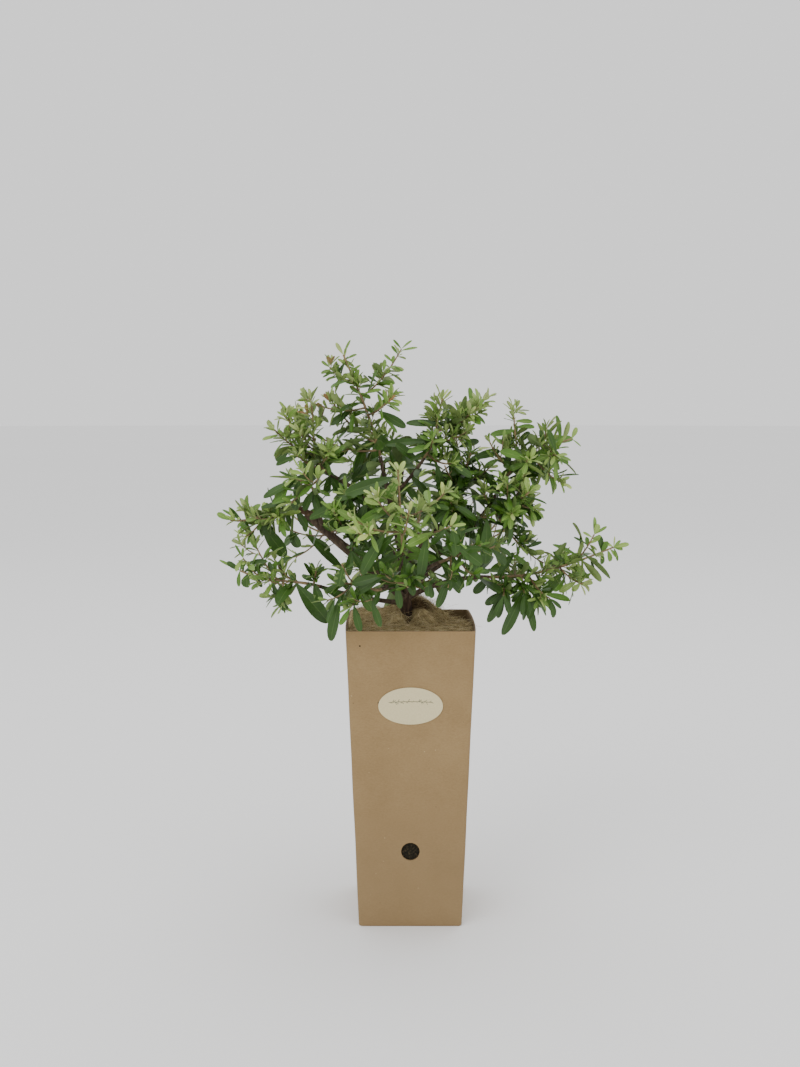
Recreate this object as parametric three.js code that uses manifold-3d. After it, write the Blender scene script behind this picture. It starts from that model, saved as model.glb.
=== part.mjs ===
// A young firethorn: a small evergreen shrub in a tall, tapering square pot of grey-brown board.
// The pot stands on its flat underside. A short stem rises from the compost through a mat of plant
// fibre and forks into boughs, and each bough carries one mass of twigs with narrow leaves.
//
// Millimetres and degrees. +Z is up, +X to the right of the pot's labelled front, +Y to its back,
// and the origin is the middle of the pot's underside.
import * as THREE from "three";
import { mergeVertices } from "three/addons/utils/BufferGeometryUtils.js";
import Module from "manifold-3d";

const wasm = await Module();
wasm.setup();

// ---- Driving dimensions ----
const GAP = 0.3; // what neighbouring solids keep between them
const SLIVER = 0.02; // the finest step in a fused surface
const MERGED = [1e-3, 1e-4]; // points this close count as one when a solid is stored

const POT = { height: 240, top: 100, foot: 82, wall: 1.5, floor: 2.5, corner: 3, sideBow: 1.6 };
const HOLE = { radius: 7.3, height: 62.5, sides: 20 };
const LABEL = { width: 50, height: 29.5, thickness: 0.4, centre: 181, points: 14 };

const COMPOST_TOP = 214;
// The mat of fibre: its level at the rim, the hollow in its back right corner, and the mound behind
// the stem.
const MAT = { level: 237, cells: 8, hollow: 13, hollowWidth: 24 };
const MOUND = { x: 5, y: 9, height: 20, alongX: 24, alongY: 14 };

const TRUNK = { foot: 5.4, tip: 4.4, rise: -1, flare: 0.75, flareShare: 0.2, sides: 8, steps: 6 };
const BOUGH = { sides: 6, steps: 3 };
const TWIG_SIDES = 3;

// Narrow leaves with their widest place past the middle. A leaf's length runs from `old` at the foot
// of a mass to `young` at its tips, and its width, thickness and droop are shares of its length.
const LEAF = {
  old: 46, young: 15, slender: 0.36, widest: 0.58, thick: 0.02, thinnest: 0.5, droop: 0.12,
  pitch: 11.5, atTip: 2, tipShare: 0.96, tipAge: 0.1, tipSpread: 36,
  spread: 50, spreadByAge: 25, lift: 0.25, hang: 1.4, roll: 65, smaller: 0.67,
};
// How much of a leaf's upper side faces up, out of the crown, and along its shoot.
const FACING = { up: 0.5, outward: 0.5, forward: 0.3 };
const GOLDEN_ANGLE = 137.5;

// ---- Places ----
const radians = THREE.MathUtils.degToRad;
const UP = new THREE.Vector3(0, 0, 1);

// A place in the crown: its bearing from the pot's middle (0 is right, 90 the back, -90 the front),
// its reach from the pot's middle, and its height above the rim.
function place([bearing, reach, height]) {
  const angle = radians(bearing);
  return new THREE.Vector3(reach * Math.cos(angle), reach * Math.sin(angle), POT.height + height);
}

// A line from a limb's foot to its tip, with its middle lifted, or sagging where rise is negative.
function limbLine(foot, tip, rise) {
  const middle = foot.clone().lerp(tip, 0.5);
  middle.z += 2 * rise;
  return new THREE.QuadraticBezierCurve3(foot, middle, tip);
}

// A line that carries on from the end of another, just clear of it and in its direction.
function lineOnFrom(line, tip, rise) {
  const heading = line.getTangentAt(1);
  const start = line.getPointAt(1).addScaledVector(heading, GAP);
  const leaving = start.clone().addScaledVector(heading, start.distanceTo(tip) / 3);
  const arriving = start.clone().lerp(tip, 0.66);
  arriving.z += 2 * rise;
  return new THREE.CubicBezierCurve3(start, leaving, arriving, tip);
}

// ---- The limbs: the stem and its boughs ----
// foot: [the limb it grows from, the share of that limb's length]. tip: bearing, reach, height.
// radius: at the foot and at the tip. rise: how far the middle is lifted.
const TRUNK_TIP = [180, 5, 31];
const BOUGHS = [
  { name: "bough_leader", foot: ["trunk", 1], tip: [180, 24, 132], radius: [3, 1.5], rise: 1 },
  { name: "bough_left", foot: ["trunk", 0.8], tip: [-172, 83, 87], radius: [4.3, 3.2], rise: -1 },
  { name: "bough_low_right", foot: ["trunk", 0.78], tip: [-14, 64, 37], radius: [2.4, 1.5], rise: 5 },
  { name: "bough_low_left", foot: ["trunk", 0.72], tip: [-152, 80, 33], radius: [2, 1.4], rise: -2 },
  { name: "bough_right", foot: ["trunk", 0.93], tip: [-2, 64, 86], radius: [2.6, 1.7], rise: 3 },
  {
    name: "bough_right_high", foot: ["bough_right", 0.82], tip: [1, 77, 115], radius: [1.6, 1.3],
    rise: -2,
  },
  {
    name: "bough_centre_high", foot: ["bough_leader", 0.66], tip: [-43, 15, 131], radius: [1.5, 1.3],
    rise: -2,
  },
  {
    name: "bough_upper_left", foot: ["bough_leader", 0.5], tip: [-173, 64, 118], radius: [2, 1.6],
    rise: 2,
  },
  { name: "bough_left_high", foot: ["bough_left", 0.84], tip: [-160, 80, 106], radius: [2, 1.4], rise: 0 },
  { name: "bough_front", foot: ["trunk", 0.97], tip: [-95, 66, 62], radius: [2.2, 1.4], rise: 4 },
  { name: "bough_front_low", foot: ["trunk", 0.84], tip: [-90, 46, 36], radius: [1.7, 1.3], rise: 3 },
  { name: "bough_front_left", foot: ["trunk", 0.8], tip: [-116, 52, 32], radius: [1.8, 1.3], rise: 4 },
  { name: "bough_front_right", foot: ["trunk", 0.9], tip: [-64, 51, 53], radius: [2, 1.4], rise: 3 },
  {
    name: "bough_inner_left", foot: ["bough_leader", 0.2], tip: [-137, 47, 78], radius: [1.8, 1.3],
    rise: -2,
  },
  {
    name: "bough_inner_right", foot: ["bough_leader", 0.14], tip: [12, 30, 82], radius: [1.8, 1.3],
    rise: -1,
  },
  { name: "bough_back", foot: ["trunk", 0.95], tip: [84, 56, 68], radius: [2.4, 1.5], rise: 3 },
  { name: "bough_back_left", foot: ["trunk", 0.84], tip: [140, 70, 56], radius: [2.4, 1.5], rise: 2 },
  { name: "bough_back_right", foot: ["trunk", 0.86], tip: [46, 70, 52], radius: [2.4, 1.5], rise: 2 },
  {
    name: "bough_back_high", foot: ["bough_leader", 0.42], tip: [100, 36, 118], radius: [1.7, 1.3],
    rise: -1,
  },
  { name: "bough_back_low", foot: ["trunk", 0.76], tip: [100, 52, 30], radius: [2, 1.4], rise: 4 },
];

// ---- The masses of foliage ----
// Each has a stem that carries on from its bough's tip, side shoots that leave the stem at a share
// of its length ([share, bearing, reach, height] of the shoot's tip), and a few twigs set by its seed.
const MASSES = [
  {
    name: "foliage_top", bough: "bough_leader", tip: [-175, 53, 212], rise: 2, seed: 11, age: 0.7,
    shoots: [
      [0.58, 130, 11, 217], [0.47, -170, 83, 177], [0.12, 168, 66, 178], [0.4, -136, 20, 180],
      [0.72, -173, 64, 202], [0.06, 177, 70, 146],
    ],
  },
  {
    name: "foliage_upper_left", bough: "bough_upper_left", tip: [-176, 79, 178],
    rise: -4, seed: 23, age: 0.75,
    shoots: [
      [0.3, -174, 108, 154], [0.12, -166, 91, 134], [0.5, 171, 93, 164], [0.2, -151, 71, 137],
      [0.6, 170, 70, 170],
    ],
  },
  {
    name: "foliage_left_high", bough: "bough_left_high", tip: [-163, 98, 116], rise: 2, seed: 31, age: 1.1,
    shoots: [[0.3, -146, 85, 117], [0.4, -154, 102, 98], [0.5, -175, 91, 112]],
  },
  {
    name: "foliage_left", bough: "bough_left", tip: [-175, 143, 82], rise: -3, seed: 43, age: 0.9,
    shoots: [
      [0.3, -163, 108, 86], [0.45, -177, 131, 90], [0.54, -171, 131, 70], [0.2, 174, 104, 92],
      [0.35, 174, 120, 82],
    ],
  },
  {
    name: "foliage_left_low", bough: "bough_low_left", tip: [-162, 138, 46], rise: -3, seed: 57, age: 1.1,
    shoots: [
      [0.5, -166, 125, 66], [0.45, -155, 109, 20], [0.08, -143, 90, 48], [0.7, -157, 138, 57],
      [0.3, -165, 110, 53],
    ],
  },
  {
    name: "foliage_front_left", bough: "bough_front_left", tip: [-127, 90, 40], rise: 2, seed: 61, age: 1.2,
    shoots: [[0.3, -112, 78, 28], [0.5, -122, 86, 22], [0.6, -122, 96, 56], [0.7, -136, 88, 26]],
  },
  {
    name: "foliage_front_low", bough: "bough_front_low", tip: [-91, 90, 48], rise: 1, seed: 67, age: 1.1,
    shoots: [[0.4, -103, 84, 48], [0.5, -80, 86, 46], [0.6, -92, 92, 26]],
  },
  {
    name: "foliage_front", bough: "bough_front", tip: [-96, 93, 126], rise: -2, seed: 75, age: 0.5,
    shoots: [
      [0.36, -114, 104, 91], [0.36, -73, 100, 86], [0.5, -73, 88, 110], [0.3, -91, 112, 98],
      [0.45, -105, 102, 108],
    ],
  },
  {
    name: "foliage_front_right", bough: "bough_front_right", tip: [-59, 98, 70], rise: 1, seed: 83, age: 1.1,
    shoots: [[0.3, -70, 80, 38], [0.45, -61, 94, 48], [0.6, -47, 96, 70], [0.5, -71, 97, 72]],
  },
  {
    name: "foliage_centre_high", bough: "bough_centre_high", tip: [-13, 26, 178],
    rise: -2, seed: 97, age: 0.9,
    shoots: [
      [0.45, -7, 60, 178], [0.15, -64, 38, 146], [0.3, -25, 48, 152], [0.55, 14, 50, 168],
      [0.08, -47, 47, 128],
    ],
  },
  {
    name: "foliage_right_high", bough: "bough_right_high", tip: [-1, 128, 146], rise: 2, seed: 101, age: 1.1,
    shoots: [
      [0.12, -15, 64, 144], [0.25, 3, 82, 171], [0.6, 6, 110, 155], [0.45, -7, 120, 112],
      [0.7, -13, 116, 134], [0.35, -23, 97, 131], [0.2, 9, 100, 118],
    ],
  },
  {
    name: "foliage_right", bough: "bough_right", tip: [-21, 98, 106], rise: -2, seed: 113, age: 1.1,
    shoots: [
      [0.08, -3, 107, 47], [0.4, -25, 82, 112], [0.3, -28, 88, 90], [0.6, -13, 100, 92],
      [0.15, -24, 62, 104], [0.5, -9, 91, 120],
    ],
  },
  {
    name: "foliage_right_low", bough: "bough_low_right", tip: [-3, 162, 60], rise: -3, seed: 127, age: 1.2,
    shoots: [
      [0.66, -6, 146, 71], [0.55, -11, 138, 33], [0.3, -18, 114, 23], [0.45, 3, 123, 54],
      [0.12, -29, 82, 26], [0.25, -19, 94, 27], [0.2, 7, 86, 46],
    ],
  },
  {
    name: "foliage_inner_left", bough: "bough_inner_left", tip: [-131, 74, 108], rise: 0, seed: 131, age: 1.2,
    shoots: [[0.4, -134, 86, 78], [0.4, -116, 66, 110], [0.3, -126, 76, 64]],
  },
  {
    name: "foliage_inner_right", bough: "bough_inner_right", tip: [-5, 48, 135],
    rise: -1, seed: 151, age: 1.2,
    shoots: [
      [0.5, -49, 40, 126], [0.6, -10, 64, 124], [0.3, -51, 49, 98], [0.25, -26, 66, 86],
      [0.7, 20, 40, 144], [0.35, 60, 50, 108],
    ],
  },
  {
    name: "foliage_back", bough: "bough_back", tip: [84, 116, 92], rise: -3, seed: 157, age: 1,
    shoots: [[0.35, 68, 104, 76], [0.4, 102, 104, 92], [0.5, 86, 102, 116]],
  },
  {
    name: "foliage_back_left", bough: "bough_back_left", tip: [142, 130, 78], rise: -3, seed: 163, age: 1,
    shoots: [[0.3, 124, 112, 66], [0.35, 156, 118, 72], [0.5, 136, 112, 108], [0.4, 146, 122, 42]],
  },
  {
    name: "foliage_back_right", bough: "bough_back_right", tip: [50, 124, 74], rise: -3, seed: 179, age: 1,
    shoots: [[0.3, 34, 104, 72], [0.35, 64, 112, 62], [0.5, 46, 110, 100], [0.4, 42, 118, 38]],
  },
  {
    name: "foliage_back_high", bough: "bough_back_high", tip: [112, 64, 148], rise: -1, seed: 191, age: 1,
    shoots: [[0.3, 70, 56, 132], [0.35, 136, 70, 126], [0.6, 96, 84, 128], [0.7, 134, 54, 158]],
  },
  {
    name: "foliage_back_low", bough: "bough_back_low", tip: [100, 110, 34], rise: 1, seed: 199, age: 1.2,
    shoots: [[0.35, 82, 98, 30], [0.4, 118, 102, 32], [0.5, 102, 104, 54]],
  },
];

// ---- Solids ----
// A closed geometry as a manifold-3d solid.
function solidOf(geometry) {
  const bare = geometry.clone();
  bare.deleteAttribute("normal");
  bare.deleteAttribute("uv");
  const merged = mergeVertices(bare, 1e-4);
  return new wasm.Manifold(
    new wasm.Mesh({
      numProp: 3,
      vertProperties: merged.getAttribute("position").array,
      triVerts: new Uint32Array(merged.index.array),
    }),
  );
}

// The largest closed body of a solid, without loose scraps and sealed hollows.
function mainBody(solid) {
  const bodies = solid.simplify(SLIVER).decompose();
  return bodies.reduce((best, one) => (one.volume() > best.volume() ? one : best));
}

function geometryOf(solid) {
  const mesh = solid.getMesh();
  const positions = new Float32Array(mesh.numVert * 3);
  for (let i = 0; i < mesh.numVert; i++) {
    positions.set(mesh.vertProperties.subarray(i * mesh.numProp, i * mesh.numProp + 3), i * 3);
  }
  return new THREE.BufferGeometry()
    .setAttribute("position", new THREE.BufferAttribute(positions, 3))
    .setIndex(new THREE.BufferAttribute(mesh.triVerts, 1));
}

// Whether a solid's surface stays closed, with each edge between two faces, once its closest points
// are merged.
function staysClosed(solid) {
  return MERGED.every((distance) => {
    const merged = mergeVertices(geometryOf(solid), distance);
    const corners = merged.index.array;
    const uses = new Map();
    for (let i = 0; i < corners.length; i += 3) {
      const face = corners.slice(i, i + 3);
      if (new Set(face).size < 3) continue;
      face.forEach((from, k) => {
        const edge = [from, face[(k + 1) % 3]].sort().join();
        uses.set(edge, (uses.get(edge) ?? 0) + 1);
      });
    }
    return [...uses.values()].every((count) => count === 2);
  });
}

// Moves each vertex of a geometry to where `move` puts it.
function reshaped(geometry, move) {
  const positions = geometry.getAttribute("position");
  const vertex = new THREE.Vector3();
  for (let i = 0; i < positions.count; i++) {
    move(vertex.fromBufferAttribute(positions, i));
    positions.setXYZ(i, vertex.x, vertex.y, vertex.z);
  }
  return geometry;
}

// ---- Pot, compost, mat and label ----
function potHalf(z) {
  return THREE.MathUtils.lerp(POT.foot, POT.top, z / POT.height) / 2;
}

// A square outline with round corners. Each side is cut into short pieces, so that it can bow.
function squareOutline(half, corner) {
  const sidePieces = 3;
  const cornerPieces = 2;
  const straight = half - corner;
  const outline = [];
  for (let side = 0; side < 4; side++) {
    const turn = (side * Math.PI) / 2;
    const along = new THREE.Vector2(Math.cos(turn + Math.PI / 2), Math.sin(turn + Math.PI / 2));
    const out = new THREE.Vector2(Math.cos(turn), Math.sin(turn));
    for (let k = 0; k < sidePieces; k++) {
      const place = straight * ((2 * k) / sidePieces - 1);
      outline.push(out.clone().multiplyScalar(half).addScaledVector(along, place));
    }
    const centre = out.clone().add(along).multiplyScalar(straight);
    for (let k = 0; k < cornerPieces; k++) {
      const angle = turn + (k * Math.PI) / 2 / cornerPieces;
      const spoke = new THREE.Vector2(Math.cos(angle), Math.sin(angle));
      outline.push(centre.clone().addScaledVector(spoke, corner));
    }
  }
  return new THREE.Shape(outline);
}

// A tapering block of the pot's form, a little smaller all round by `inset`. The two side faces bow out
// more towards the rim.
function potBlock(inset, from, to) {
  const half = POT.foot / 2;
  const outline = squareOutline(half, POT.corner);
  const block = new THREE.ExtrudeGeometry(outline, { depth: to - from, bevelEnabled: false });
  return solidOf(
    reshaped(block, (v) => {
      v.z += from;
      const bow = POT.sideBow * (v.z / POT.height) * (1 - (v.y / half) ** 2);
      const scale = (potHalf(v.z) - inset) / half;
      v.x = v.x * scale + (Math.sign(v.x) * bow * Math.abs(v.x)) / half;
      v.y *= scale;
    }),
  );
}

function makePot() {
  const above = POT.height + 10;
  const inside = potBlock(POT.wall, POT.floor, above);
  const drill = new THREE.CylinderGeometry(HOLE.radius, HOLE.radius, 2 * POT.top, HOLE.sides);
  const holes = solidOf(drill.translate(0, 0, HOLE.height));
  return potBlock(0, 0, POT.height).subtract(inside).subtract(holes);
}

function makeCompost() {
  return potBlock(POT.wall + GAP, POT.floor + GAP, COMPOST_TOP);
}

function matTop(x, y) {
  const corner = potHalf(POT.height);
  const hollow = Math.hypot(x - corner, y - corner) / MAT.hollowWidth;
  const mound = Math.hypot((x - MOUND.x) / MOUND.alongX, (y - MOUND.y) / MOUND.alongY);
  return MAT.level - MAT.hollow * Math.exp(-(hollow ** 2)) + MOUND.height * Math.exp(-(mound ** 2));
}

function makeMat(trunkRoom) {
  const bottom = COMPOST_TOP + GAP;
  const block = new THREE.BoxGeometry(POT.top, POT.top, 1, MAT.cells, MAT.cells, 1);
  const blanket = reshaped(block, (v) => {
    v.z = v.z > 0 ? matTop(v.x, v.y) : bottom;
  });
  const room = potBlock(POT.wall + GAP, bottom - 1, POT.height + MOUND.height);
  return solidOf(blanket).intersect(room).subtract(trunkRoom);
}

// An oval card against the pot's front, which leans out towards its rim.
function makeLabel() {
  const oval = new THREE.Shape().absellipse(0, 0, LABEL.width / 2, LABEL.height / 2, 0, 2 * Math.PI);
  const card = new THREE.ExtrudeGeometry(oval, {
    depth: LABEL.thickness, curveSegments: LABEL.points, bevelEnabled: false,
  });
  const lean = Math.atan2((POT.top - POT.foot) / 2, POT.height);
  card.rotateX(Math.PI / 2 + lean);
  return solidOf(card.translate(0, -potHalf(LABEL.centre) - GAP, LABEL.centre));
}

// ---- Limbs ----
// A capped tube along a line, with its radius given for each share of its length. With `room` it is
// that much larger all round, at its ends too.
function tubeSolid(line, radiusAt, sides, steps, room = 0) {
  const { tangents, normals, binormals } = line.computeFrenetFrames(steps);
  const roomAcross = room / Math.cos(Math.PI / sides);
  const tube = new THREE.CylinderGeometry(1, 1, 1, sides, steps);
  return solidOf(
    reshaped(tube, (v) => {
      const share = v.y + 0.5;
      const step = Math.round(share * steps);
      const radius = radiusAt(share) + roomAcross;
      const end = step === 0 ? -room : step === steps ? room : 0;
      const offset = tangents[step].clone().multiplyScalar(end);
      offset.addScaledVector(normals[step], v.x * radius).addScaledVector(binormals[step], -v.z * radius);
      v.copy(line.getPointAt(share)).add(offset);
    }),
  );
}

function taper([foot, tip]) {
  return (share) => THREE.MathUtils.lerp(foot, tip, share);
}

function flared({ foot, tip, flare, flareShare }) {
  return (share) => THREE.MathUtils.lerp(foot, tip, share) * (1 + flare * Math.exp(-share / flareShare));
}

// Every limb's line and radius by name, with the trunk first. The trunk's line starts below the ground,
// so that its foot can be cut level.
function planLimbs() {
  const foot = new THREE.Vector3(0, 0, COMPOST_TOP - TRUNK.foot);
  const trunkLine = limbLine(foot, place(TRUNK_TIP), TRUNK.rise);
  const limbs = new Map([["trunk", { line: trunkLine, radiusAt: flared(TRUNK), tipRadius: TRUNK.tip }]]);
  for (const bough of BOUGHS) {
    const [parentName, share] = bough.foot;
    const parent = limbs.get(parentName);
    const tip = place(bough.tip);
    const line =
      share === 1
        ? lineOnFrom(parent.line, tip, bough.rise)
        : limbLine(parent.line.getPointAt(share), tip, bough.rise);
    limbs.set(bough.name, { line, radiusAt: taper(bough.radius), tipRadius: bough.radius[1] });
  }
  return limbs;
}

// Builds each limb, cut clear of those before it and of the ground.
function makeLimbs(limbs) {
  const solids = new Map();
  const rooms = [];
  for (const [name, { line, radiusAt }] of limbs) {
    const { sides, steps } = name === "trunk" ? TRUNK : BOUGH;
    let solid = tubeSolid(line, radiusAt, sides, steps).trimByPlane([0, 0, 1], COMPOST_TOP + GAP);
    for (const room of rooms) solid = solid.subtract(room);
    solids.set(name, mainBody(solid));
    rooms.push(tubeSolid(line, radiusAt, sides, steps, GAP));
  }
  return { solids, trunkRoom: rooms[0] };
}

// ---- Growth: the rule that sets twigs and leaves ----
// A list holds a value for the stem, the side shoots and the twigs, in that order. `bare` is the share of a
// shoot before its first leaf, and `ageing` how old its first leaf is for its mass's age.
const SHOOT = {
  foot: 1.25, tip: 0.7, side: 0.8, twig: 0.65, sag: 0.1,
  steps: [4, 2, 1], bare: [0.1, 0.2, 0.2], ageing: [0.9, 0.75, 0.6],
};
const TWIG = { count: 2, length: 20, firstShare: 0.2, shares: 0.65, spread: 50, lift: 0.35 };
// How near a leaf or twig may come: to the middle between two masses, a limb, another mass's shoots,
// the pot, and the leaves already set.
const CLEAR = { space: 1.6, limb: 1.2, twig: 7, pot: 2, leaf: 2.2, sample: 4 };

// Repeatable random numbers from 0 to 1.
function randomFrom(seed) {
  let state = seed;
  return () => {
    state = (Math.imul(state, 1664525) + 1013904223) >>> 0;
    return state / 2 ** 32;
  };
}

// A direction that leaves a line at `spread` degrees, on the side that `turn` degrees gives.
function offshoot(tangent, turn, spread) {
  const level = Math.abs(tangent.z) > 0.9 ? new THREE.Vector3(1, 0, 0) : UP;
  const side = tangent.clone().cross(level).normalize().applyAxisAngle(tangent, radians(turn));
  const heading = tangent.clone().multiplyScalar(Math.cos(radians(spread)));
  return heading.addScaledVector(side, Math.sin(radians(spread)));
}

function samples(line) {
  return line.getSpacedPoints(Math.max(2, Math.ceil(line.getLength() / CLEAR.sample)));
}

function nearest(point, places) {
  return places.reduce((least, one) => Math.min(least, one.distanceTo(point)), Infinity);
}

// Whether a point is outside the pot, or inside its walls and above both the rim and the mat.
function clearOfPot(point) {
  const half = potHalf(Math.min(point.z, POT.height)) + POT.sideBow + CLEAR.pot;
  const over = Math.abs(point.x) < half && Math.abs(point.y) < half;
  return !over || point.z > Math.max(POT.height, matTop(point.x, point.y)) + CLEAR.pot;
}

function clearOfLimbs(point, limbPoints, room) {
  return limbPoints.every(({ centre, radius }) => centre.distanceTo(point) > radius + room);
}

// A point of a shoot's faceted twig.
function onTwig({ line, order }, share) {
  const steps = SHOOT.steps[order];
  const step = Math.min(steps - 1, Math.floor(share * steps));
  return line.getPointAt(step / steps).lerp(line.getPointAt((step + 1) / steps), share * steps - step);
}

// A mass's leading shoots: its stem and the side shoots that its row names.
function leadingShoots(mass, bough) {
  const foot = Math.min(SHOOT.foot, bough.tipRadius);
  const stemLine = lineOnFrom(bough.line, place(mass.tip), mass.rise);
  const stem = { order: 0, line: stemLine, radius: [foot, SHOOT.tip] };
  const sideShoots = mass.shoots.map(([share, ...tip]) => {
    const from = onTwig(stem, share);
    const line = limbLine(from, place(tip), -SHOOT.sag * from.distanceTo(place(tip)));
    const width = THREE.MathUtils.lerp(foot, SHOOT.tip, share) * SHOOT.side;
    return { order: 1, line, radius: [width, SHOOT.tip * SHOOT.side] };
  });
  return [stem, ...sideShoots];
}

// Twigs set by the mass's seed. One that would come near another mass, a limb or the pot is skipped.
function seededTwigs(mass, leading, others, limbPoints) {
  const random = randomFrom(mass.seed);
  const twigs = [];
  for (let k = 0; k < TWIG.count; k++) {
    const parent = leading[k % leading.length];
    const share = TWIG.firstShare + TWIG.shares * random();
    const turn = 360 * random();
    const length = TWIG.length * (0.7 + 0.6 * random());
    const from = onTwig(parent, share);
    const heading = offshoot(parent.line.getTangentAt(share), turn, TWIG.spread);
    heading.z += TWIG.lift;
    const end = from.clone().addScaledVector(heading.normalize(), length);
    const line = limbLine(from, end, -SHOOT.sag * length);
    const free = samples(line).slice(1).every(
      (p) =>
        nearest(p, others) > CLEAR.twig &&
        clearOfPot(p) &&
        clearOfLimbs(p, limbPoints, 2 * CLEAR.limb),
    );
    const radius = SHOOT.tip * SHOOT.twig;
    if (free) twigs.push({ order: 2, line, radius: [radius, radius] });
  }
  return twigs;
}

// Where one shoot's leaves go: spirally along it, older towards its foot, and a few round its tip.
function leafPlaces(shoot, mass, random) {
  const bare = SHOOT.bare[shoot.order];
  const ageing = mass.age * SHOOT.ageing[shoot.order];
  const count = Math.max(1, Math.round((shoot.line.getLength() * (1 - bare)) / LEAF.pitch));
  const firstTurn = 360 * random();
  const spots = [];
  for (let k = 0; k < count; k++) {
    const share = bare + ((1 - bare) * (k + 0.3)) / count;
    const age = ageing * (1 - share ** 2);
    const turn = firstTurn + GOLDEN_ANGLE * k;
    const roll = LEAF.roll * (2 * random() - 1);
    const spread = LEAF.spread + LEAF.spreadByAge * age;
    spots.push({ share, age, turn, roll, spread, size: 0.85 + 0.3 * random() });
  }
  for (let k = 0; k < LEAF.atTip; k++) {
    const turn = firstTurn + (360 * k) / LEAF.atTip;
    const roll = LEAF.roll * (2 * random() - 1);
    const size = 0.9 + 0.3 * random();
    spots.push({
      share: LEAF.tipShare, age: LEAF.tipAge * mass.age, turn, roll, spread: LEAF.tipSpread, size,
    });
  }
  return spots;
}

// A leaf's frame: its root on the shoot's middle line, the way it points, and the way its upper side
// faces, which is up and out of the crown, give or take its roll.
function leafFrame(shoot, { share, age, turn, roll, spread, size }) {
  const tangent = shoot.line.getTangentAt(share);
  const root = onTwig(shoot, share);
  const along = offshoot(tangent, turn, spread);
  along.z += LEAF.lift - LEAF.hang * age;
  along.normalize();
  const outward = new THREE.Vector3(root.x, root.y, 0).normalize();
  const facing = UP.clone().multiplyScalar(FACING.up);
  facing.addScaledVector(outward, FACING.outward).addScaledVector(tangent, FACING.forward);
  facing.addScaledVector(along, -facing.dot(along)).normalize().applyAxisAngle(along, radians(roll));
  const length = THREE.MathUtils.lerp(LEAF.young, LEAF.old, Math.min(1, age)) * size;
  return { root, along, facing, across: along.clone().cross(facing), length, age };
}

// A point of a leaf, by its share of the length, its share of the half width, and its height over the
// blade's plane.
function leafPoint(leaf, share, side, height) {
  const droop = -leaf.length * LEAF.droop * (0.3 + leaf.age) * share ** 2;
  return leaf.root
    .clone()
    .addScaledVector(leaf.along, leaf.length * share)
    .addScaledVector(leaf.across, 0.5 * side * leaf.length * LEAF.slender)
    .addScaledVector(leaf.facing, height + droop);
}

function leafProbes(leaf) {
  const probes = [0.2, 0.35, 0.5, 0.65, 0.82, 1].map((share) => leafPoint(leaf, share, 0, 0));
  for (const side of [-1, 1]) {
    probes.push(leafPoint(leaf, LEAF.widest, side, 0));
    probes.push(leafPoint(leaf, 0.8, side / 2, 0));
  }
  return probes;
}

// The leaves of a mass. One that would leave the mass's space, or touch a limb, the pot or a leaf, is
// tried again at a smaller size, and then skipped.
function growLeaves(mass, shoots, own, others, limbPoints) {
  const random = randomFrom(mass.seed + 7);
  const taken = [];
  const leaves = [];
  const fits = (probes) =>
    probes.every(
      (p) =>
        nearest(p, others) > nearest(p, own) + CLEAR.space &&
        nearest(p, taken) > CLEAR.leaf &&
        clearOfPot(p) &&
        clearOfLimbs(p, limbPoints, CLEAR.limb),
    );
  for (const shoot of shoots) {
    for (const spot of leafPlaces(shoot, mass, random)) {
      const full = leafFrame(shoot, spot);
      const smaller = { ...full, length: full.length * LEAF.smaller };
      const leaf = [full, smaller].find((one) => fits(leafProbes(one)));
      if (!leaf) continue;
      leaves.push(leaf);
      taken.push(...leafProbes(leaf));
    }
  }
  return leaves;
}

// A leaf of six faces: a ball of three meridians drawn out to the leaf's outline. One meridian is its keel,
// the other two are its edges, and its root is sunk in the twig.
function leafSolid(leaf) {
  const meridians = 3;
  const edge = Math.sin((2 * Math.PI) / meridians);
  const depth = Math.max(LEAF.thinnest, LEAF.thick * leaf.length) / 1.5;
  const blade = new THREE.SphereGeometry(1, meridians, 2);
  return solidOf(
    reshaped(blade, (v) => {
      const share = v.y < -0.5 ? 0 : v.y > 0.5 ? 1 : LEAF.widest;
      v.copy(leafPoint(leaf, share, -v.z / edge, v.x * depth));
    }),
  );
}

function pointsOf(shoots) {
  return shoots.flatMap((shoot) => samples(shoot.line));
}

// Fuses a mass's twigs and leaves. A leaf that would pinch the surface is skipped.
function fuseMass(shoots, leaves) {
  const twigs = shoots.map(({ line, radius, order }) =>
    tubeSolid(line, taper(radius), TWIG_SIDES, SHOOT.steps[order]),
  );
  let whole = twigs.reduce((sum, twig) => sum.add(twig));
  for (const leaf of leaves) {
    const next = whole.add(leafSolid(leaf));
    if (staysClosed(mainBody(next))) whole = next;
  }
  return mainBody(whole);
}

// Grows the leading shoots of all masses first, then each mass's twigs, then each mass's leaves.
function growMasses(limbs) {
  const limbPoints = [...limbs.values()].flatMap(({ line, radiusAt }) => {
    const count = Math.ceil(line.getLength() / CLEAR.sample);
    return line.getSpacedPoints(count).map((centre, k) => ({ centre, radius: radiusAt(k / count) }));
  });
  const grown = new Map(MASSES.map((mass) => [mass.name, leadingShoots(mass, limbs.get(mass.bough))]));
  const otherPoints = (name) =>
    [...grown].flatMap(([other, shoots]) => (other === name ? [] : pointsOf(shoots)));
  for (const mass of MASSES) {
    const leading = grown.get(mass.name);
    const twigs = seededTwigs(mass, leading, otherPoints(mass.name), limbPoints);
    grown.set(mass.name, [...leading, ...twigs]);
  }
  const solids = new Map();
  for (const mass of MASSES) {
    const shoots = grown.get(mass.name);
    const leaves = growLeaves(mass, shoots, pointsOf(shoots), otherPoints(mass.name), limbPoints);
    solids.set(mass.name, fuseMass(shoots, leaves));
  }
  return solids;
}

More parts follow.
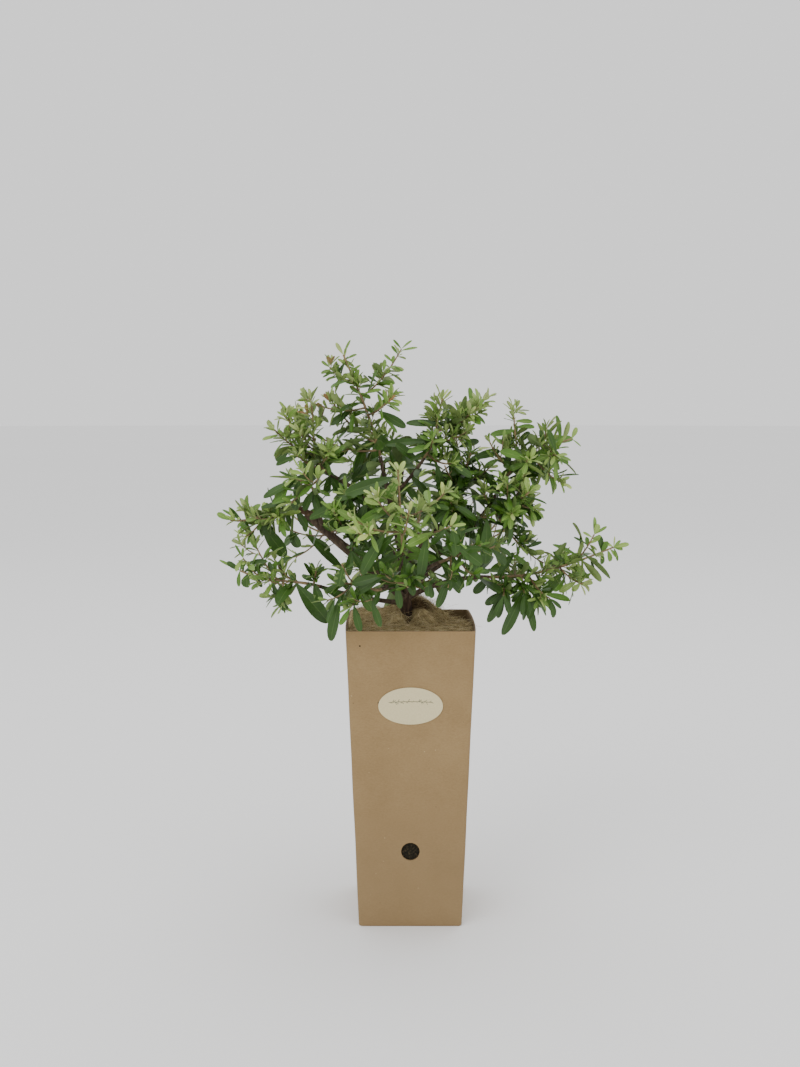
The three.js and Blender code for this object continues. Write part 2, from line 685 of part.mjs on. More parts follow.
// ---- The whole plant ----
const board = new THREE.MeshStandardMaterial({ color: 0xa48b6c, roughness: 0.9, metalness: 0 });
const earth = new THREE.MeshStandardMaterial({ color: 0x2a2118, roughness: 1, metalness: 0 });
const fibre = new THREE.MeshStandardMaterial({ color: 0x7d6b4b, roughness: 1, metalness: 0 });
const card = new THREE.MeshStandardMaterial({ color: 0xc4bba6, roughness: 0.7, metalness: 0 });
const bark = new THREE.MeshStandardMaterial({ color: 0x4a3b2f, roughness: 0.95, metalness: 0 });
const oldLeaves = new THREE.MeshStandardMaterial({ color: 0x34522c, roughness: 0.5, metalness: 0 });
const youngLeaves = new THREE.MeshStandardMaterial({ color: 0x6f8a3c, roughness: 0.5, metalness: 0 });

const plant = new THREE.Group();

function addPiece(name, solid, material) {
  const mesh = new THREE.Mesh(geometryOf(solid), material);
  mesh.name = name;
  plant.add(mesh);
}

const limbs = planLimbs();
const { solids: limbSolids, trunkRoom } = makeLimbs(limbs);

addPiece("pot", makePot(), board);
addPiece("compost", makeCompost(), earth);
addPiece("fibre_mat", makeMat(trunkRoom), fibre);
addPiece("label", makeLabel(), card);
for (const [name, solid] of limbSolids) addPiece(name, solid, bark);
for (const [name, solid] of growMasses(limbs)) {
  const { age } = MASSES.find((mass) => mass.name === name);
  addPiece(name, solid, age < 0.7 ? youngLeaves : oldLeaves);
}

export default plant;
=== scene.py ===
import math

import bmesh
import bpy
import numpy as np
from mathutils import Matrix, Vector, noise


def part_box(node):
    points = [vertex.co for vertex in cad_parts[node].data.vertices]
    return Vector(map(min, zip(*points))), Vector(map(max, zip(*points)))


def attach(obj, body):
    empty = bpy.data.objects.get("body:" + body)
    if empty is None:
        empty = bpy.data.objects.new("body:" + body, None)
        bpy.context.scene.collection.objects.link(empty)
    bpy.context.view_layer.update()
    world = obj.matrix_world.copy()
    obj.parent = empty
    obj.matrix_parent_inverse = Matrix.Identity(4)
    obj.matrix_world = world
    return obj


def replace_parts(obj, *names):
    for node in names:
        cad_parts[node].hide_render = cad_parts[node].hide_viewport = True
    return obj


# The looks of a young firethorn in its tall square board pot. Growth is worked out in millimetres and
# degrees, in the frame of the solids: +Z is up, +X right, and -Y the pot's labelled front.

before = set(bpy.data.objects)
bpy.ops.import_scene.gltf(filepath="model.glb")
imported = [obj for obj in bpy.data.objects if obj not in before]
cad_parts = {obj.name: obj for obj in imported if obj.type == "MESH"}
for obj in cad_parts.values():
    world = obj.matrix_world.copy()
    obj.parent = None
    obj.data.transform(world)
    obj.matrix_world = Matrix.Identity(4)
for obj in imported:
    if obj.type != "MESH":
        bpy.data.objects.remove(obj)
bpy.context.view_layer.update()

# ---- Sizes, in millimetres ----
MM = 0.001
GAP = 0.3
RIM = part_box("pot")[1].z / MM
POT = {
    "foot": 82, "top": 2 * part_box("pot")[1].y / MM, "wall": 1.5, "floor": 2.5, "corner": 3, "bow": 1.6,
    "rim_edge": 0.35, "foot_edge": 0.8, "wave": 0.35, "wave_size": 45,
}
HOLE = {"radius": 7.3, "height": 62.5}
# The crumbs in each hole: their number and size, how far behind the wall they start, how deep they lie,
# and how far they go past the hole's edge.
CRUMBS = {"count": 170, "size": (0.35, 1.3), "behind": 1.4, "depth": 0.9, "beyond": 0.5}
LABEL = {"width": 50, "height": 29.5, "thickness": 0.4, "centre": 181, "edge": 0.15}
# The printed sprig: half its length, its height over the card's middle, its stem's bend and radius, its
# leaves, and how far they are sunk in the card and stand out of it.
SPRIG = {
    "half": 17, "height": 3, "bend": 1.2, "stem": 0.2, "leaves": 17, "length": 3.6, "breadth": 0.42,
    "spread": 0.9, "sunk": 0.05, "proud": 0.06,
}
COMPOST_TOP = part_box("compost")[1].z / MM
MAT = {
    "level": 237, "hollow": 13, "hollow_width": 24, "cells": 150,
    "lump": 1.3, "lump_size": 13, "tuft": 0.45, "tuft_size": 2.2,
}
MOUND = {"x": 5, "y": 9, "height": 20, "along_x": 24, "along_y": 14}
RIDGE = {
    "x": 18, "y": 14, "slope": -1, "from": 26, "soft": 3, "height": 1, "half": 3, "drop": 7, "behind": 4,
}
# The mat's swells and dents, the last one the slit before the stem: the height of each, its middle, and
# how wide and how deep it is.
MAT_FORMS = (
    (4.5, -34, 20, 26, 38), (8, 10, -8, 7, 5), (5, -9, -8, 5, 5),
    (-8, 39, 30, 13, 16), (-5, 8, 4, 8, 4), (-8, -1, -5, 2.6, 7),
)
# The mat's painted shade, by the stem, in the hollow of the corner and on the mound's flank: the middle and
# the reach of each.
PAINTED_SHADE_BY_STEM = ((7, 3, 252), (16, 9, 11))
PAINTED_SHADE_IN_CORNER = ((40, 26, 230), (24, 28, 22))
MOUND_FLANK = ((18, -8, 244), (24, 16, 14))
# The hairs of each kind that lie on the mat and that stand on its ridges, and the lines of those ridges.
FIBRES = {"pale": (1300, 620), "tan": (1900, 340), "dark": (900, 60)}
HAIR = {
    "radius": (0.05, 0.11), "lying": (6, 20), "standing": (2, 7), "sunk": 0.2,
    "lift": (-0.3, 1.2), "arch": (0.2, 2.2), "sway": 2.5,
}
# How much higher the ends of hairs may rise on the mound: the height, the middle, and how wide and deep.
LOFT = {"height": 2.5, "x": 12, "y": 6, "along_x": 20, "along_y": 12}
FRINGES = (
    ((2, 10, 0), (16, 14, 0), (30, 2, 0), (47, -15, 0)),
    ((-46, 45, 0), (-25, 46, 0), (-6, 45, 0)),
)
# An oval beside the stem, over the mat's painted shade there, that keeps out the pale and tan hairs that
# would start, bend or end in it: its middle and its half widths.
BARE_MAT = {"x": 7, "y": 3, "along_x": 13, "along_y": 7}
TRUNK = {"foot": 5.4, "tip": 4.4, "rise": -1, "flare": 0.75, "flare_share": 0.2}
STUB = {"foot": (-172, 79, 86), "bend": (-170, 88, 90), "tip": (-168, 95, 97), "radius": (2.6, 2.1)}
# How deep the relief of the bark is, and by what share a limb is thicker where it leaves its parent.
RELIEF = {"trunk": (0.7, 0), "bough": (0.28, 0.3), "stub": (0.25, 0.2)}

# ---- Places and directions ----
UP = np.array([0.0, 0.0, 1.0])
RIGHT = np.array([1.0, 0.0, 0.0])
FRONT = np.array([0.0, -1.0, 0.0])
GOLDEN_ANGLE = 137.5


def unit(vector):
    return vector / np.linalg.norm(vector)


def square_to(vector, axis):
    """The direction square to an axis that is nearest to a vector."""
    return unit(vector - axis * np.dot(vector, axis))


def outward(point):
    """The level direction from the pot's middle to a point."""
    return unit(point * [1, 1, 0])


def mix(low, high, share):
    return low + (high - low) * share


def turned(vector, axis, degrees):
    """A vector turned about an axis of length one that need not be square to it."""
    angle = math.radians(degrees)
    level = axis * np.dot(axis, vector) * (1 - math.cos(angle))
    return vector * math.cos(angle) + np.cross(axis, vector) * math.sin(angle) + level


def place(bearing, reach, height):
    """A place in the crown by its bearing and reach from the pot's middle, and its height over the rim."""
    angle = math.radians(bearing)
    return np.array([reach * math.cos(angle), reach * math.sin(angle), RIM + height])


class Line:
    """A Bezier curve that is read by shares of its length."""

    STEPS = np.linspace(0, 1, 201)

    def __init__(self, *points):
        self.points = np.array(points)
        pieces = np.diff(self.at_steps(self.STEPS)[0], axis=0)
        self.reached = np.r_[0, np.cumsum(np.linalg.norm(pieces, axis=1))]
        self.length = self.reached[-1]

    def at_steps(self, steps):
        steps = steps[None, :, None]
        rows = self.points[:, None, :]
        while len(rows) > 2:
            rows = rows[:-1] * (1 - steps) + rows[1:] * steps
        return mix(rows[0], rows[1], steps[0]), rows[1] - rows[0]

    def read(self, shares):
        """The places and the headings at shares of the length."""
        steps = np.interp(np.atleast_1d(shares) * self.length, self.reached, self.STEPS)
        places, headings = self.at_steps(steps)
        return places, headings / np.linalg.norm(headings, axis=1)[:, None]

    def at(self, share):
        return self.read(share)[0][0]

    def heading(self, share):
        return self.read(share)[1][0]


def limb_line(foot, tip, rise):
    """A line from a limb's foot to its tip, with its middle lifted, or sagging where rise is negative."""
    return Line(foot, mix(foot, tip, 0.5) + 2 * rise * UP, tip)


def line_on_from(line, tip, rise):
    """A line that carries on from the end of another, in its direction."""
    heading = line.heading(1)
    start = line.at(1) + GAP * heading
    leaving = start + heading * np.linalg.norm(tip - start) / 3
    return Line(start, leaving, mix(start, tip, 0.66) + 2 * rise * UP, tip)


# ---- The limbs ----
# Each bough: the limb it grows from and the share of that limb's length, its tip's bearing, reach and
# height, its radius at foot and tip, and how far its middle is lifted.
TRUNK_TIP = (180, 5, 31)
BOUGHS = {
    "leader": ("trunk", 1, (180, 24, 132), (3, 1.5), 1),
    "left": ("trunk", 0.8, (-172, 83, 87), (4.3, 3.2), -1),
    "low_right": ("trunk", 0.78, (-14, 64, 37), (2.4, 1.5), 5),
    "low_left": ("trunk", 0.72, (-152, 80, 33), (2, 1.4), -2),
    "right": ("trunk", 0.93, (-2, 64, 86), (2.6, 1.7), 3),
    "right_high": ("right", 0.82, (1, 77, 115), (1.6, 1.3), -2),
    "centre_high": ("leader", 0.66, (-43, 15, 131), (1.5, 1.3), -2),
    "upper_left": ("leader", 0.5, (-173, 64, 118), (2, 1.6), 2),
    "left_high": ("left", 0.84, (-160, 80, 106), (2, 1.4), 0),
    "front": ("trunk", 0.97, (-95, 66, 62), (2.2, 1.4), 4),
    "front_low": ("trunk", 0.84, (-90, 46, 36), (1.7, 1.3), 3),
    "front_left": ("trunk", 0.8, (-116, 52, 32), (1.8, 1.3), 4),
    "front_right": ("trunk", 0.9, (-64, 51, 53), (2, 1.4), 3),
    "inner_left": ("leader", 0.2, (-137, 47, 78), (1.8, 1.3), -2),
    "inner_right": ("leader", 0.14, (12, 30, 82), (1.8, 1.3), -1),
    "back": ("trunk", 0.95, (84, 56, 68), (2.4, 1.5), 3),
    "back_left": ("trunk", 0.84, (140, 70, 56), (2.4, 1.5), 2),
    "back_right": ("trunk", 0.86, (46, 70, 52), (2.4, 1.5), 2),
    "back_high": ("leader", 0.42, (100, 36, 118), (1.7, 1.3), -1),
    "back_low": ("trunk", 0.76, (100, 52, 30), (2, 1.4), 4),
}

# Each mass of foliage, by its bough: its stem's tip, how far the stem is lifted, its seed, the age of its
# first leaves, and its side shoots: the share of the stem where one leaves, and its tip.
MASSES = {
    "top": ("leader", (-175, 53, 212), 2, 11, 0.7, [
        (0.58, 130, 11, 217), (0.47, -170, 83, 177), (0.12, 168, 66, 178), (0.4, -136, 20, 180),
        (0.72, -173, 64, 202), (0.06, 177, 70, 146)]),
    "upper_left": ("upper_left", (-176, 79, 178), -4, 23, 0.75, [
        (0.3, -174, 108, 154), (0.12, -166, 91, 134), (0.5, 171, 93, 164), (0.2, -151, 71, 137),
        (0.6, 170, 70, 170)]),
    "left_high": ("left_high", (-163, 98, 116), 2, 31, 1.1, [
        (0.3, -146, 85, 117), (0.4, -154, 102, 98), (0.5, -175, 91, 112)]),
    "left": ("left", (-175, 143, 82), -3, 43, 0.9, [
        (0.3, -163, 108, 86), (0.45, -177, 131, 90), (0.54, -171, 131, 70), (0.2, 174, 104, 92),
        (0.35, 174, 120, 82)]),
    "left_low": ("low_left", (-162, 138, 46), -3, 57, 1.1, [
        (0.5, -166, 125, 66), (0.45, -155, 109, 20), (0.08, -143, 90, 48), (0.7, -157, 138, 57),
        (0.3, -165, 110, 53)]),
    "front_left": ("front_left", (-127, 90, 40), 2, 61, 1.2, [
        (0.3, -112, 78, 28), (0.5, -122, 86, 22), (0.6, -122, 96, 56), (0.7, -136, 88, 26)]),
    "front_low": ("front_low", (-91, 90, 48), 1, 67, 1.1, [
        (0.4, -103, 84, 48), (0.5, -80, 86, 46), (0.6, -92, 92, 41)]),
    "front": ("front", (-96, 93, 126), -2, 75, 0.5, [
        (0.36, -114, 104, 91), (0.36, -73, 100, 86), (0.5, -73, 88, 110), (0.3, -91, 112, 98),
        (0.45, -105, 102, 108)]),
    "front_right": ("front_right", (-59, 98, 70), 1, 83, 1.1, [
        (0.3, -70, 80, 38), (0.45, -61, 94, 48), (0.6, -47, 96, 70), (0.5, -71, 97, 72)]),
    "centre_high": ("centre_high", (-13, 26, 178), -2, 97, 0.9, [
        (0.45, -7, 60, 178), (0.15, -64, 38, 146), (0.3, -25, 48, 152), (0.55, 14, 50, 168),
        (0.08, -47, 47, 128)]),
    "right_high": ("right_high", (-1, 128, 146), 2, 101, 1.1, [
        (0.12, -15, 64, 144), (0.25, 3, 82, 171), (0.6, 6, 110, 155), (0.45, -7, 120, 112),
        (0.7, -13, 116, 134), (0.35, -23, 97, 131), (0.2, 9, 100, 118)]),
    "right": ("right", (-21, 98, 106), -2, 113, 1.1, [
        (0.08, -3, 107, 47), (0.4, -25, 82, 112), (0.3, -28, 88, 90), (0.6, -13, 100, 92),
        (0.15, -24, 62, 104), (0.5, -9, 91, 120)]),
    "right_low": ("low_right", (-3, 162, 60), -3, 127, 1.2, [
        (0.66, -6, 146, 71), (0.55, -11, 138, 33), (0.3, -18, 114, 23), (0.45, 3, 123, 54),
        (0.12, -29, 82, 26), (0.25, -19, 94, 27), (0.2, 7, 86, 46)]),
    "inner_left": ("inner_left", (-131, 74, 108), 0, 131, 1.2, [
        (0.4, -134, 86, 78), (0.4, -116, 66, 110), (0.3, -126, 76, 64)]),
    "inner_right": ("inner_right", (-5, 48, 135), -1, 151, 1.2, [
        (0.5, -49, 40, 126), (0.6, -10, 64, 124), (0.3, -51, 49, 98), (0.25, -26, 66, 86),
        (0.7, 20, 40, 144), (0.35, 60, 50, 108)]),
    "back": ("back", (84, 116, 92), -3, 157, 1, [
        (0.35, 68, 104, 76), (0.4, 102, 104, 92), (0.5, 86, 102, 116)]),
    "back_left": ("back_left", (142, 130, 78), -3, 163, 1, [
        (0.3, 124, 112, 66), (0.35, 156, 118, 72), (0.5, 136, 112, 108), (0.4, 146, 122, 42)]),
    "back_right": ("back_right", (50, 124, 74), -3, 179, 1, [
        (0.3, 34, 104, 72), (0.35, 64, 112, 62), (0.5, 46, 110, 100), (0.4, 42, 118, 38)]),
    "back_high": ("back_high", (112, 64, 148), -1, 191, 1, [
        (0.3, 70, 56, 132), (0.35, 136, 70, 126), (0.6, 96, 84, 128), (0.7, 134, 54, 158)]),
    "back_low": ("back_low", (100, 110, 34), 1, 199, 1.2, [
        (0.35, 82, 98, 30), (0.4, 118, 102, 32), (0.5, 102, 104, 54)]),
}

# Leaves with a row each, by their mass: the number of the shoot, 0 for the stem, the share of its length
# where the leaf grows, the way it points as the front shows it, in degrees up from the right, its length,
# its breadth as a share of its length, and its age.
SET_LEAVES = {
    "top": [
        (2, 0.2, -150, 22, 0.28, 0.9), (4, 0.35, -30, 26, 0.28, 0.9), (0, 0.25, -52, 22, 0.4, 0.9),
        (3, 0.15, -112, 33, 0.26, 0.5), (6, 0.5, -155, 15, 0.35, 0.9), (0, 0, -140, 30, 0.26, 0.9),
        (6, 0.55, -146, 45, 0.2, 0.9), (6, 0.45, 20, 28, 0.24, 0.6), (0, 0.15, -96, 18, 0.33, 0.6),
        (0, 1, 122, 11, 0.3, 0), (0, 1, 64, 13, 0.17, 0.3), (0, 0.97, 80, 8, 0.32, 0),
        (0, 0.95, 27, 10, 0.2, 0.3),
        (0, 0.9, 150, 9, 0.3, 0.1), (5, 1, 95, 10, 0.3, 0), (5, 1, 142, 8, 0.3, 0.2),
        (5, 0.8, -155, 10, 0.2, 0.5),
        (5, 0.95, 20, 8, 0.25, 0.2), (1, 1, 130, 10, 0.2, 0.5), (1, 1, 42, 11, 0.2, 0.3),
        (1, 0.97, 12, 14, 0.2, 0.3),
        (1, 0.9, 128, 9, 0.28, 0.4), (1, 0.75, 137, 10, 0.22, 0.5), (1, 0.72, 80, 7, 0.4, 0.2),
        (1, 0.7, -28, 10, 0.2, 0.6), (1, 0.5, 45, 7, 0.4, 0.3), (1, 0.45, 150, 9, 0.2, 0.9),
        (1, 0.35, 145, 10, 0.22, 0.9), (1, 0.3, 5, 8, 0.3, 0.9), (0, 0.88, -25, 9, 0.28, 0.3),
        (0, 0.82, 40, 10, 0.32, 0.3), (0, 0.8, -160, 10, 0.3, 0.3), (0, 0.72, 15, 10, 0.35, 0.4),
        (0, 0.7, 160, 10, 0.35, 0.3), (0, 0.62, -25, 10, 0.35, 0.5), (0, 0.6, 140, 11, 0.32, 0.4),
        (5, 0.6, 110, 9, 0.3, 0.3), (5, 0.75, -60, 9, 0.3, 0.4), (5, 0.88, 60, 8, 0.3, 0.1),
        (0, 0.95, -40, 9, 0.28, 0.3), (0, 0.85, 120, 10, 0.3, 0.2), (0, 0.78, -30, 9, 0.3, 0.4),
        (0, 0.75, 100, 10, 0.3, 0.3),
        (5, 0.9, -160, 9, 0.3, 0.3), (5, 0.7, 170, 10, 0.3, 0.4), (5, 0.65, 60, 10, 0.3, 0.4),
        (5, 0.5, -120, 10, 0.3, 0.5),
        (0, 0.66, 100, 9, 0.3, 0.4)],
    "upper_left": [
        (1, 0.5, -142, 18, 0.5, 1), (2, 0.95, -162, 19, 0.24, 0.7), (2, 0.05, -152, 37, 0.22, 0.9),
        (2, 0.7, -85, 11, 0.35, 0.35), (0, 0, -60, 22, 0.35, 0.6), (0, 0, -100, 18, 0.35, 0.8)],
    "left_high": [
        (0, 0.7, -155, 31, 0.22, 0.8), (0, 0.95, -118, 32, 0.27, 0.7), (2, 0.85, -173, 26, 0.16, 0.8),
        (0, 0.8, 155, 14, 0.17, 0.8), (0, 0.75, -139, 14, 0.3, 0.8), (0, 0.65, -105, 14, 0.45, 0.9),
        (0, 0.15, -24, 16, 0.2, 0.6), (2, 0.45, -113, 14, 0.5, 0.9),
        (0, 0, -80, 20, 0.35, 0.8), (0, 0.05, -115, 18, 0.35, 0.8), (0, 0, -60, 16, 0.4, 0.7)],
    "left": [
        (0, 0.8, 86, 20, 0.28, 0.35), (0, 0.8, 48, 17, 0.4, 0.3), (0, 0.8, -80, 14, 0.4, 0.5),
        (0, 0.85, 150, 18, 0.12, 0.6), (0, 0.85, 135, 15, 0.2, 0.9), (0, 1, 152, 12, 0.38, 0.2),
        (0, 0.95, 110, 8, 0.3, 0.4), (2, 0.7, -48, 23, 0.32, 0.9), (3, 0.3, -56, 34, 0.34, 0.95),
        (3, 0.2, 55, 10, 0.5, 0.9), (1, 0.45, 10, 16, 0.3, 0.15), (0, 0, -97, 15, 0.35, 0.7),
        (0, 0, 20, 13, 0.35, 0.7), (0, 0, -60, 12, 0.4, 0.8), (0, 0.15, -60, 18, 0.35, 0.8),
        (0, 0.3, 120, 14, 0.3, 0.5),
        (4, 0.5, -80, 14, 0.35, 0.7), (2, 0.3, -100, 18, 0.3, 0.8), (1, 0.6, -60, 14, 0.35, 0.6),
        (3, 0.6, -120, 14, 0.35, 0.7),
        (5, 0.5, 60, 12, 0.35, 0.5)],
    "left_low": [
        (0, 0.31, -52, 42, 0.29, 1), (4, 1, -123, 12, 0.3, 0.3), (1, 0.85, 119, 11, 0.4, 0.2),
        (0, 0.6, -70, 27, 0.22, 0.6), (3, 0.25, -72, 16, 0.45, 0.9), (0, 0, -25, 34, 0.2, 0.6),
        (1, 0.95, 105, 9, 0.5, 0.3), (4, 1, 90, 8, 0.3, 0.3), (4, 1, 120, 12, 0.16, 0.6),
        (4, 0.8, 8, 16, 0.3, 0.85), (0, 1, 145, 12, 0.35, 0.85), (0, 1, 152, 18, 0.12, 0.5),
        (0, 1, -100, 13, 0.28, 0.7), (0, 0.9, -96, 11, 0.75, 0.45), (0, 0.55, 90, 15, 0.22, 0.4),
        (0, 0.55, -48, 14, 0.2, 0.4), (0, 0.5, -33, 14, 0.15, 0.4), (2, 0.1, -90, 24, 0.1, 0.5),
        (2, 0.6, -145, 6, 0.75, 0.9), (2, 0.95, -48, 6, 0.7, 0.9), (5, 0, 130, 7, 0.4, 0.9),
        (3, 0.4, 100, 14, 0.4, 0.9), (3, 0.3, 150, 11, 0.35, 0.8), (3, 0.5, 55, 10, 0.3, 0.7),
        (3, 0.2, -150, 10, 0.35, 0.9), (3, 0.6, 172, 9, 0.3, 0.5), (3, 0.8, 40, 9, 0.3, 0.4),
        (0, 1, 60, 9, 0.4, 0.8), (0, 0.95, 30, 9, 0.4, 0.8), (0, 0.95, 100, 8, 0.4, 0.8),
        (0, 0.9, 50, 9, 0.4, 0.7),
        (0, 0.85, 80, 10, 0.35, 0.7), (0, 0.8, -60, 10, 0.35, 0.7), (0, 0.75, 95, 10, 0.35, 0.6),
        (1, 0.6, 60, 12, 0.3, 0.6), (1, 0.5, -150, 12, 0.35, 0.6), (1, 0.4, 20, 12, 0.3, 0.5)],
    "front_left": [
        (4, 0.5, -106, 38, 0.22, 1), (2, 0.75, -77, 22, 0.27, 0.95), (0, 0.6, -60, 23, 0.34, 0.25),
        (1, 1, -73, 22, 0.27, 0.9), (0, 0, -115, 14, 0.35, 0.9), (3, 0.9, -105, 15, 0.6, 0.9)],
    "front_low": [
        (1, 0.55, -82, 21, 0.26, 0.85), (2, 0.8, -74, 14, 0.36, 0.8), (1, 1, -151, 28, 0.24, 0.85),
        (1, 1, -167, 26, 0.28, 0.8),
        (2, 0.9, -96, 13, 0.45, 0.7)],
    "front": [
        (0, 0, -76, 34, 0.22, 0.8), (0, 0.65, -157, 32, 0.24, 0.7), (2, 0.5, -99, 34, 0.22, 0.8),
        (1, 0.3, -122, 37, 0.22, 0.85), (1, 0.8, 149, 20, 0.26, 0.2), (0, 0.9, -123, 16, 0.45, 0.5),
        (1, 0.4, 177, 33, 0.2, 0.35), (2, 0.9, -135, 17, 0.3, 0.6), (5, 0.5, 45, 9, 0.5, 0.2),
        (2, 0.85, -67, 22, 0.3, 0.9), (2, 1, -79, 22, 0.34, 0.85), (3, 1, -27, 11, 0.2, 0.4),
        (3, 0.6, -7, 14, 0.3, 0.85), (2, 0.65, -155, 22, 0.3, 0.5),
        (1, 0.1, -138, 36, 0.25, 0.9), (0, 0, -155, 30, 0.22, 0.8), (0, 0.93, -164, 41, 0.22, 0.75)],
    "front_right": [
        (1, 0.6, -110, 26, 0.25, 0.85), (1, 0.55, -47, 15, 0.3, 0.8), (0, 0, -57, 29, 0.2, 0.6),
        (1, 0.2, -61, 21, 0.24, 0.85), (0, 0.7, -37, 14, 0.25, 0.8), (0, 0.8, -74, 24, 0.25, 0.85),
        (4, 1, -35, 25, 0.36, 0.65), (3, 0.9, -33, 14, 0.3, 0.5), (2, 1, -116, 9, 0.4, 0.85)],
    "centre_high": [
        (1, 0.3, 173, 37, 0.16, 0.85), (0, 0.3, -178, 39, 0.16, 0.85), (1, 0.5, -130, 18, 0.35, 0.9),
        (5, 0.35, -76, 32, 0.22, 0.7), (2, 0.9, 155, 10, 0.3, 0.3), (2, 0.9, 6, 11, 0.3, 0.25),
        (2, 0.85, -69, 11, 0.3, 0.4), (2, 0.95, -135, 9, 0.3, 0.4), (2, 1, 73, 9, 0.25, 0.3),
        (2, 0, -177, 23, 0.2, 0.8), (0, 0.2, -127, 11, 0.5, 0.9), (5, 0.95, -31, 19, 0.35, 0.85)],
    "inner_left": [
        (0, 0.75, -161, 35, 0.2, 0.85), (2, 1, -168, 30, 0.26, 0.5), (0, 0.85, -144, 24, 0.4, 0.5),
        (3, 1, -60, 18, 0.3, 0.8), (3, 0.9, -100, 22, 0.28, 0.85), (3, 1, -20, 20, 0.25, 0.7),
        (0, 0.9, -120, 22, 0.4, 0.6),
        (0, 1, -80, 20, 0.42, 0.6), (0, 0.5, -150, 24, 0.38, 0.7), (2, 0.6, -110, 24, 0.35, 0.6)],
    "inner_right": [
        (4, 1, -90, 37, 0.28, 1), (3, 1, -31, 25, 0.25, 0.8), (0, 0.9, 17, 26, 0.25, 0.7),
        (4, 0.85, -94, 26, 0.28, 0.6), (2, 0.3, 8, 19, 0.22, 0.6), (5, 0.55, -124, 15, 0.35, 0.6),
        (0, 0.6, -104, 15, 0.4, 0.6), (0, 0.8, -30, 24, 0.3, 0.7), (2, 0.8, -60, 20, 0.35, 0.6),
        (2, 0.6, 170, 20, 0.3, 0.7),
        (5, 0.8, 20, 18, 0.35, 0.5), (1, 0.5, -100, 18, 0.35, 0.7)],
    "right_high": [
        (0, 0.85, 96, 22, 0.2, 0.7), (2, 0.75, 0, 15, 0.25, 0.5), (2, 0.6, -168, 16, 0.25, 0.5),
        (0, 1, 66, 10, 0.4, 0.15), (0, 1, -35, 10, 0.15, 0.5), (4, 0.65, -64, 13, 0.38, 0.7),
        (1, 0.25, -32, 23, 0.25, 0.8), (5, 1, 104, 21, 0.2, 0.6), (3, 0.75, 107, 9, 0.35, 0.4),
        (4, 0, -100, 16, 0.38, 0.6), (4, 0, -150, 15, 0.38, 0.5), (4, 0, 170, 16, 0.35, 0.5),
        (0, 0.2, 160, 16, 0.35, 0.4), (0, 0.2, -140, 18, 0.35, 0.6), (0, 0.2, -60, 16, 0.38, 0.6),
        (6, 0.3, -160, 15, 0.38, 0.4), (6, 0.6, -120, 15, 0.4, 0.6), (5, 0.5, -160, 15, 0.35, 0.4),
        (5, 0.6, -30, 14, 0.38, 0.5), (7, 0.5, -110, 15, 0.38, 0.5), (7, 0.8, -60, 14, 0.35, 0.5),
        (1, 0.5, -150, 14, 0.35, 0.4), (1, 0.4, -20, 14, 0.35, 0.4), (2, 0.2, -20, 14, 0.35, 0.5),
        (3, 0.15, 101, 14, 0.3, 0.5), (2, 0.25, 154, 18, 0.28, 0.3), (4, 0.2, 176, 16, 0.3, 0.5),
        (4, 0.2, 126, 9, 0.25, 0.4), (4, 0.2, 46, 8, 0.22, 0.2), (4, 0.2, -64, 11, 0.45, 0.9),
        (4, 0.2, -132, 14, 0.5, 0.9), (6, 1, 161, 22, 0.3, 0.5), (4, 1, 122, 13, 0.18, 0.5)],
    "right": [
        (2, 0.35, -152, 15, 0.5, 0.8), (4, 0.15, -37, 22, 0.28, 0.7), (0, 0.95, 96, 13, 0.35, 0.1),
        (2, 0.7, 104, 11, 0.35, 0.2), (0, 1, 30, 10, 0.45, 0.1), (1, 0.3, 133, 9, 0.35, 0.5),
        (1, 0.3, 75, 16, 0.42, 0.9), (1, 0.3, -7, 12, 0.3, 0.9), (1, 0.6, 95, 17, 0.15, 0.6),
        (1, 0.6, 48, 12, 0.55, 0.8), (1, 0.65, 20, 16, 0.2, 0.6), (4, 0.75, -62, 11, 0.28, 0.6),
        (4, 0.55, -64, 8, 0.25, 0.7), (0, 0.75, -100, 12, 0.35, 0.6),
        (0, 0.3, 160, 18, 0.35, 0.8), (0, 0.4, -160, 16, 0.4, 0.8), (0, 0.5, 170, 16, 0.35, 0.7),
        (0, 0.6, -20, 17, 0.32, 0.8), (3, 0.5, 150, 15, 0.35, 0.6), (3, 0.7, 60, 14, 0.35, 0.4),
        (2, 0.5, 120, 14, 0.35, 0.5)],
    "right_low": [
        (5, 0.6, -113, 29, 0.24, 0.9), (6, 0.75, -111, 41, 0.23, 1), (6, 0.9, -85, 24, 0.22, 0.85),
        (6, 0.95, -73, 33, 0.18, 0.8), (3, 0.45, -55, 27, 0.17, 0.5), (3, 0.3, -68, 21, 0.45, 1),
        (3, 0.95, -68, 16, 0.3, 0.8), (3, 1, -40, 12, 0.33, 0.6), (2, 0.2, -132, 24, 0.36, 0.8),
        (2, 0.75, -150, 16, 0.34, 0.3), (2, 0.9, -138, 9, 0.5, 0.1), (2, 0.9, 4, 10, 0.38, 0.2),
        (1, 0.25, 150, 23, 0.15, 0.7), (1, 0.65, 145, 13, 0.15, 0.7), (1, 0.6, 91, 8, 0.45, 0.5),
        (1, 1, 88, 14, 0.25, 0.3), (1, 1, 70, 9, 0.55, 0.2), (1, 1, 33, 12, 0.2, 0.4),
        (0, 0.05, 53, 24, 0.25, 0.8), (0, 1, 12, 13, 0.3, 0.2), (0, 0.9, 95, 14, 0.35, 0.9),
        (0, 0.9, 60, 10, 0.5, 0.9), (0, 1, 84, 9, 0.2, 0.2), (0, 1, -10, 8, 0.6, 0.6),
        (0, 0.95, -75, 10, 0.42, 0.4), (0, 0.9, -85, 10, 0.42, 0.5), (0, 1, -68, 12, 0.22, 0.7),
        (0, 0.65, 136, 12, 0.35, 0.6), (0, 0.6, 132, 15, 0.3, 0.7), (0, 0.6, 88, 11, 0.25, 0.4),
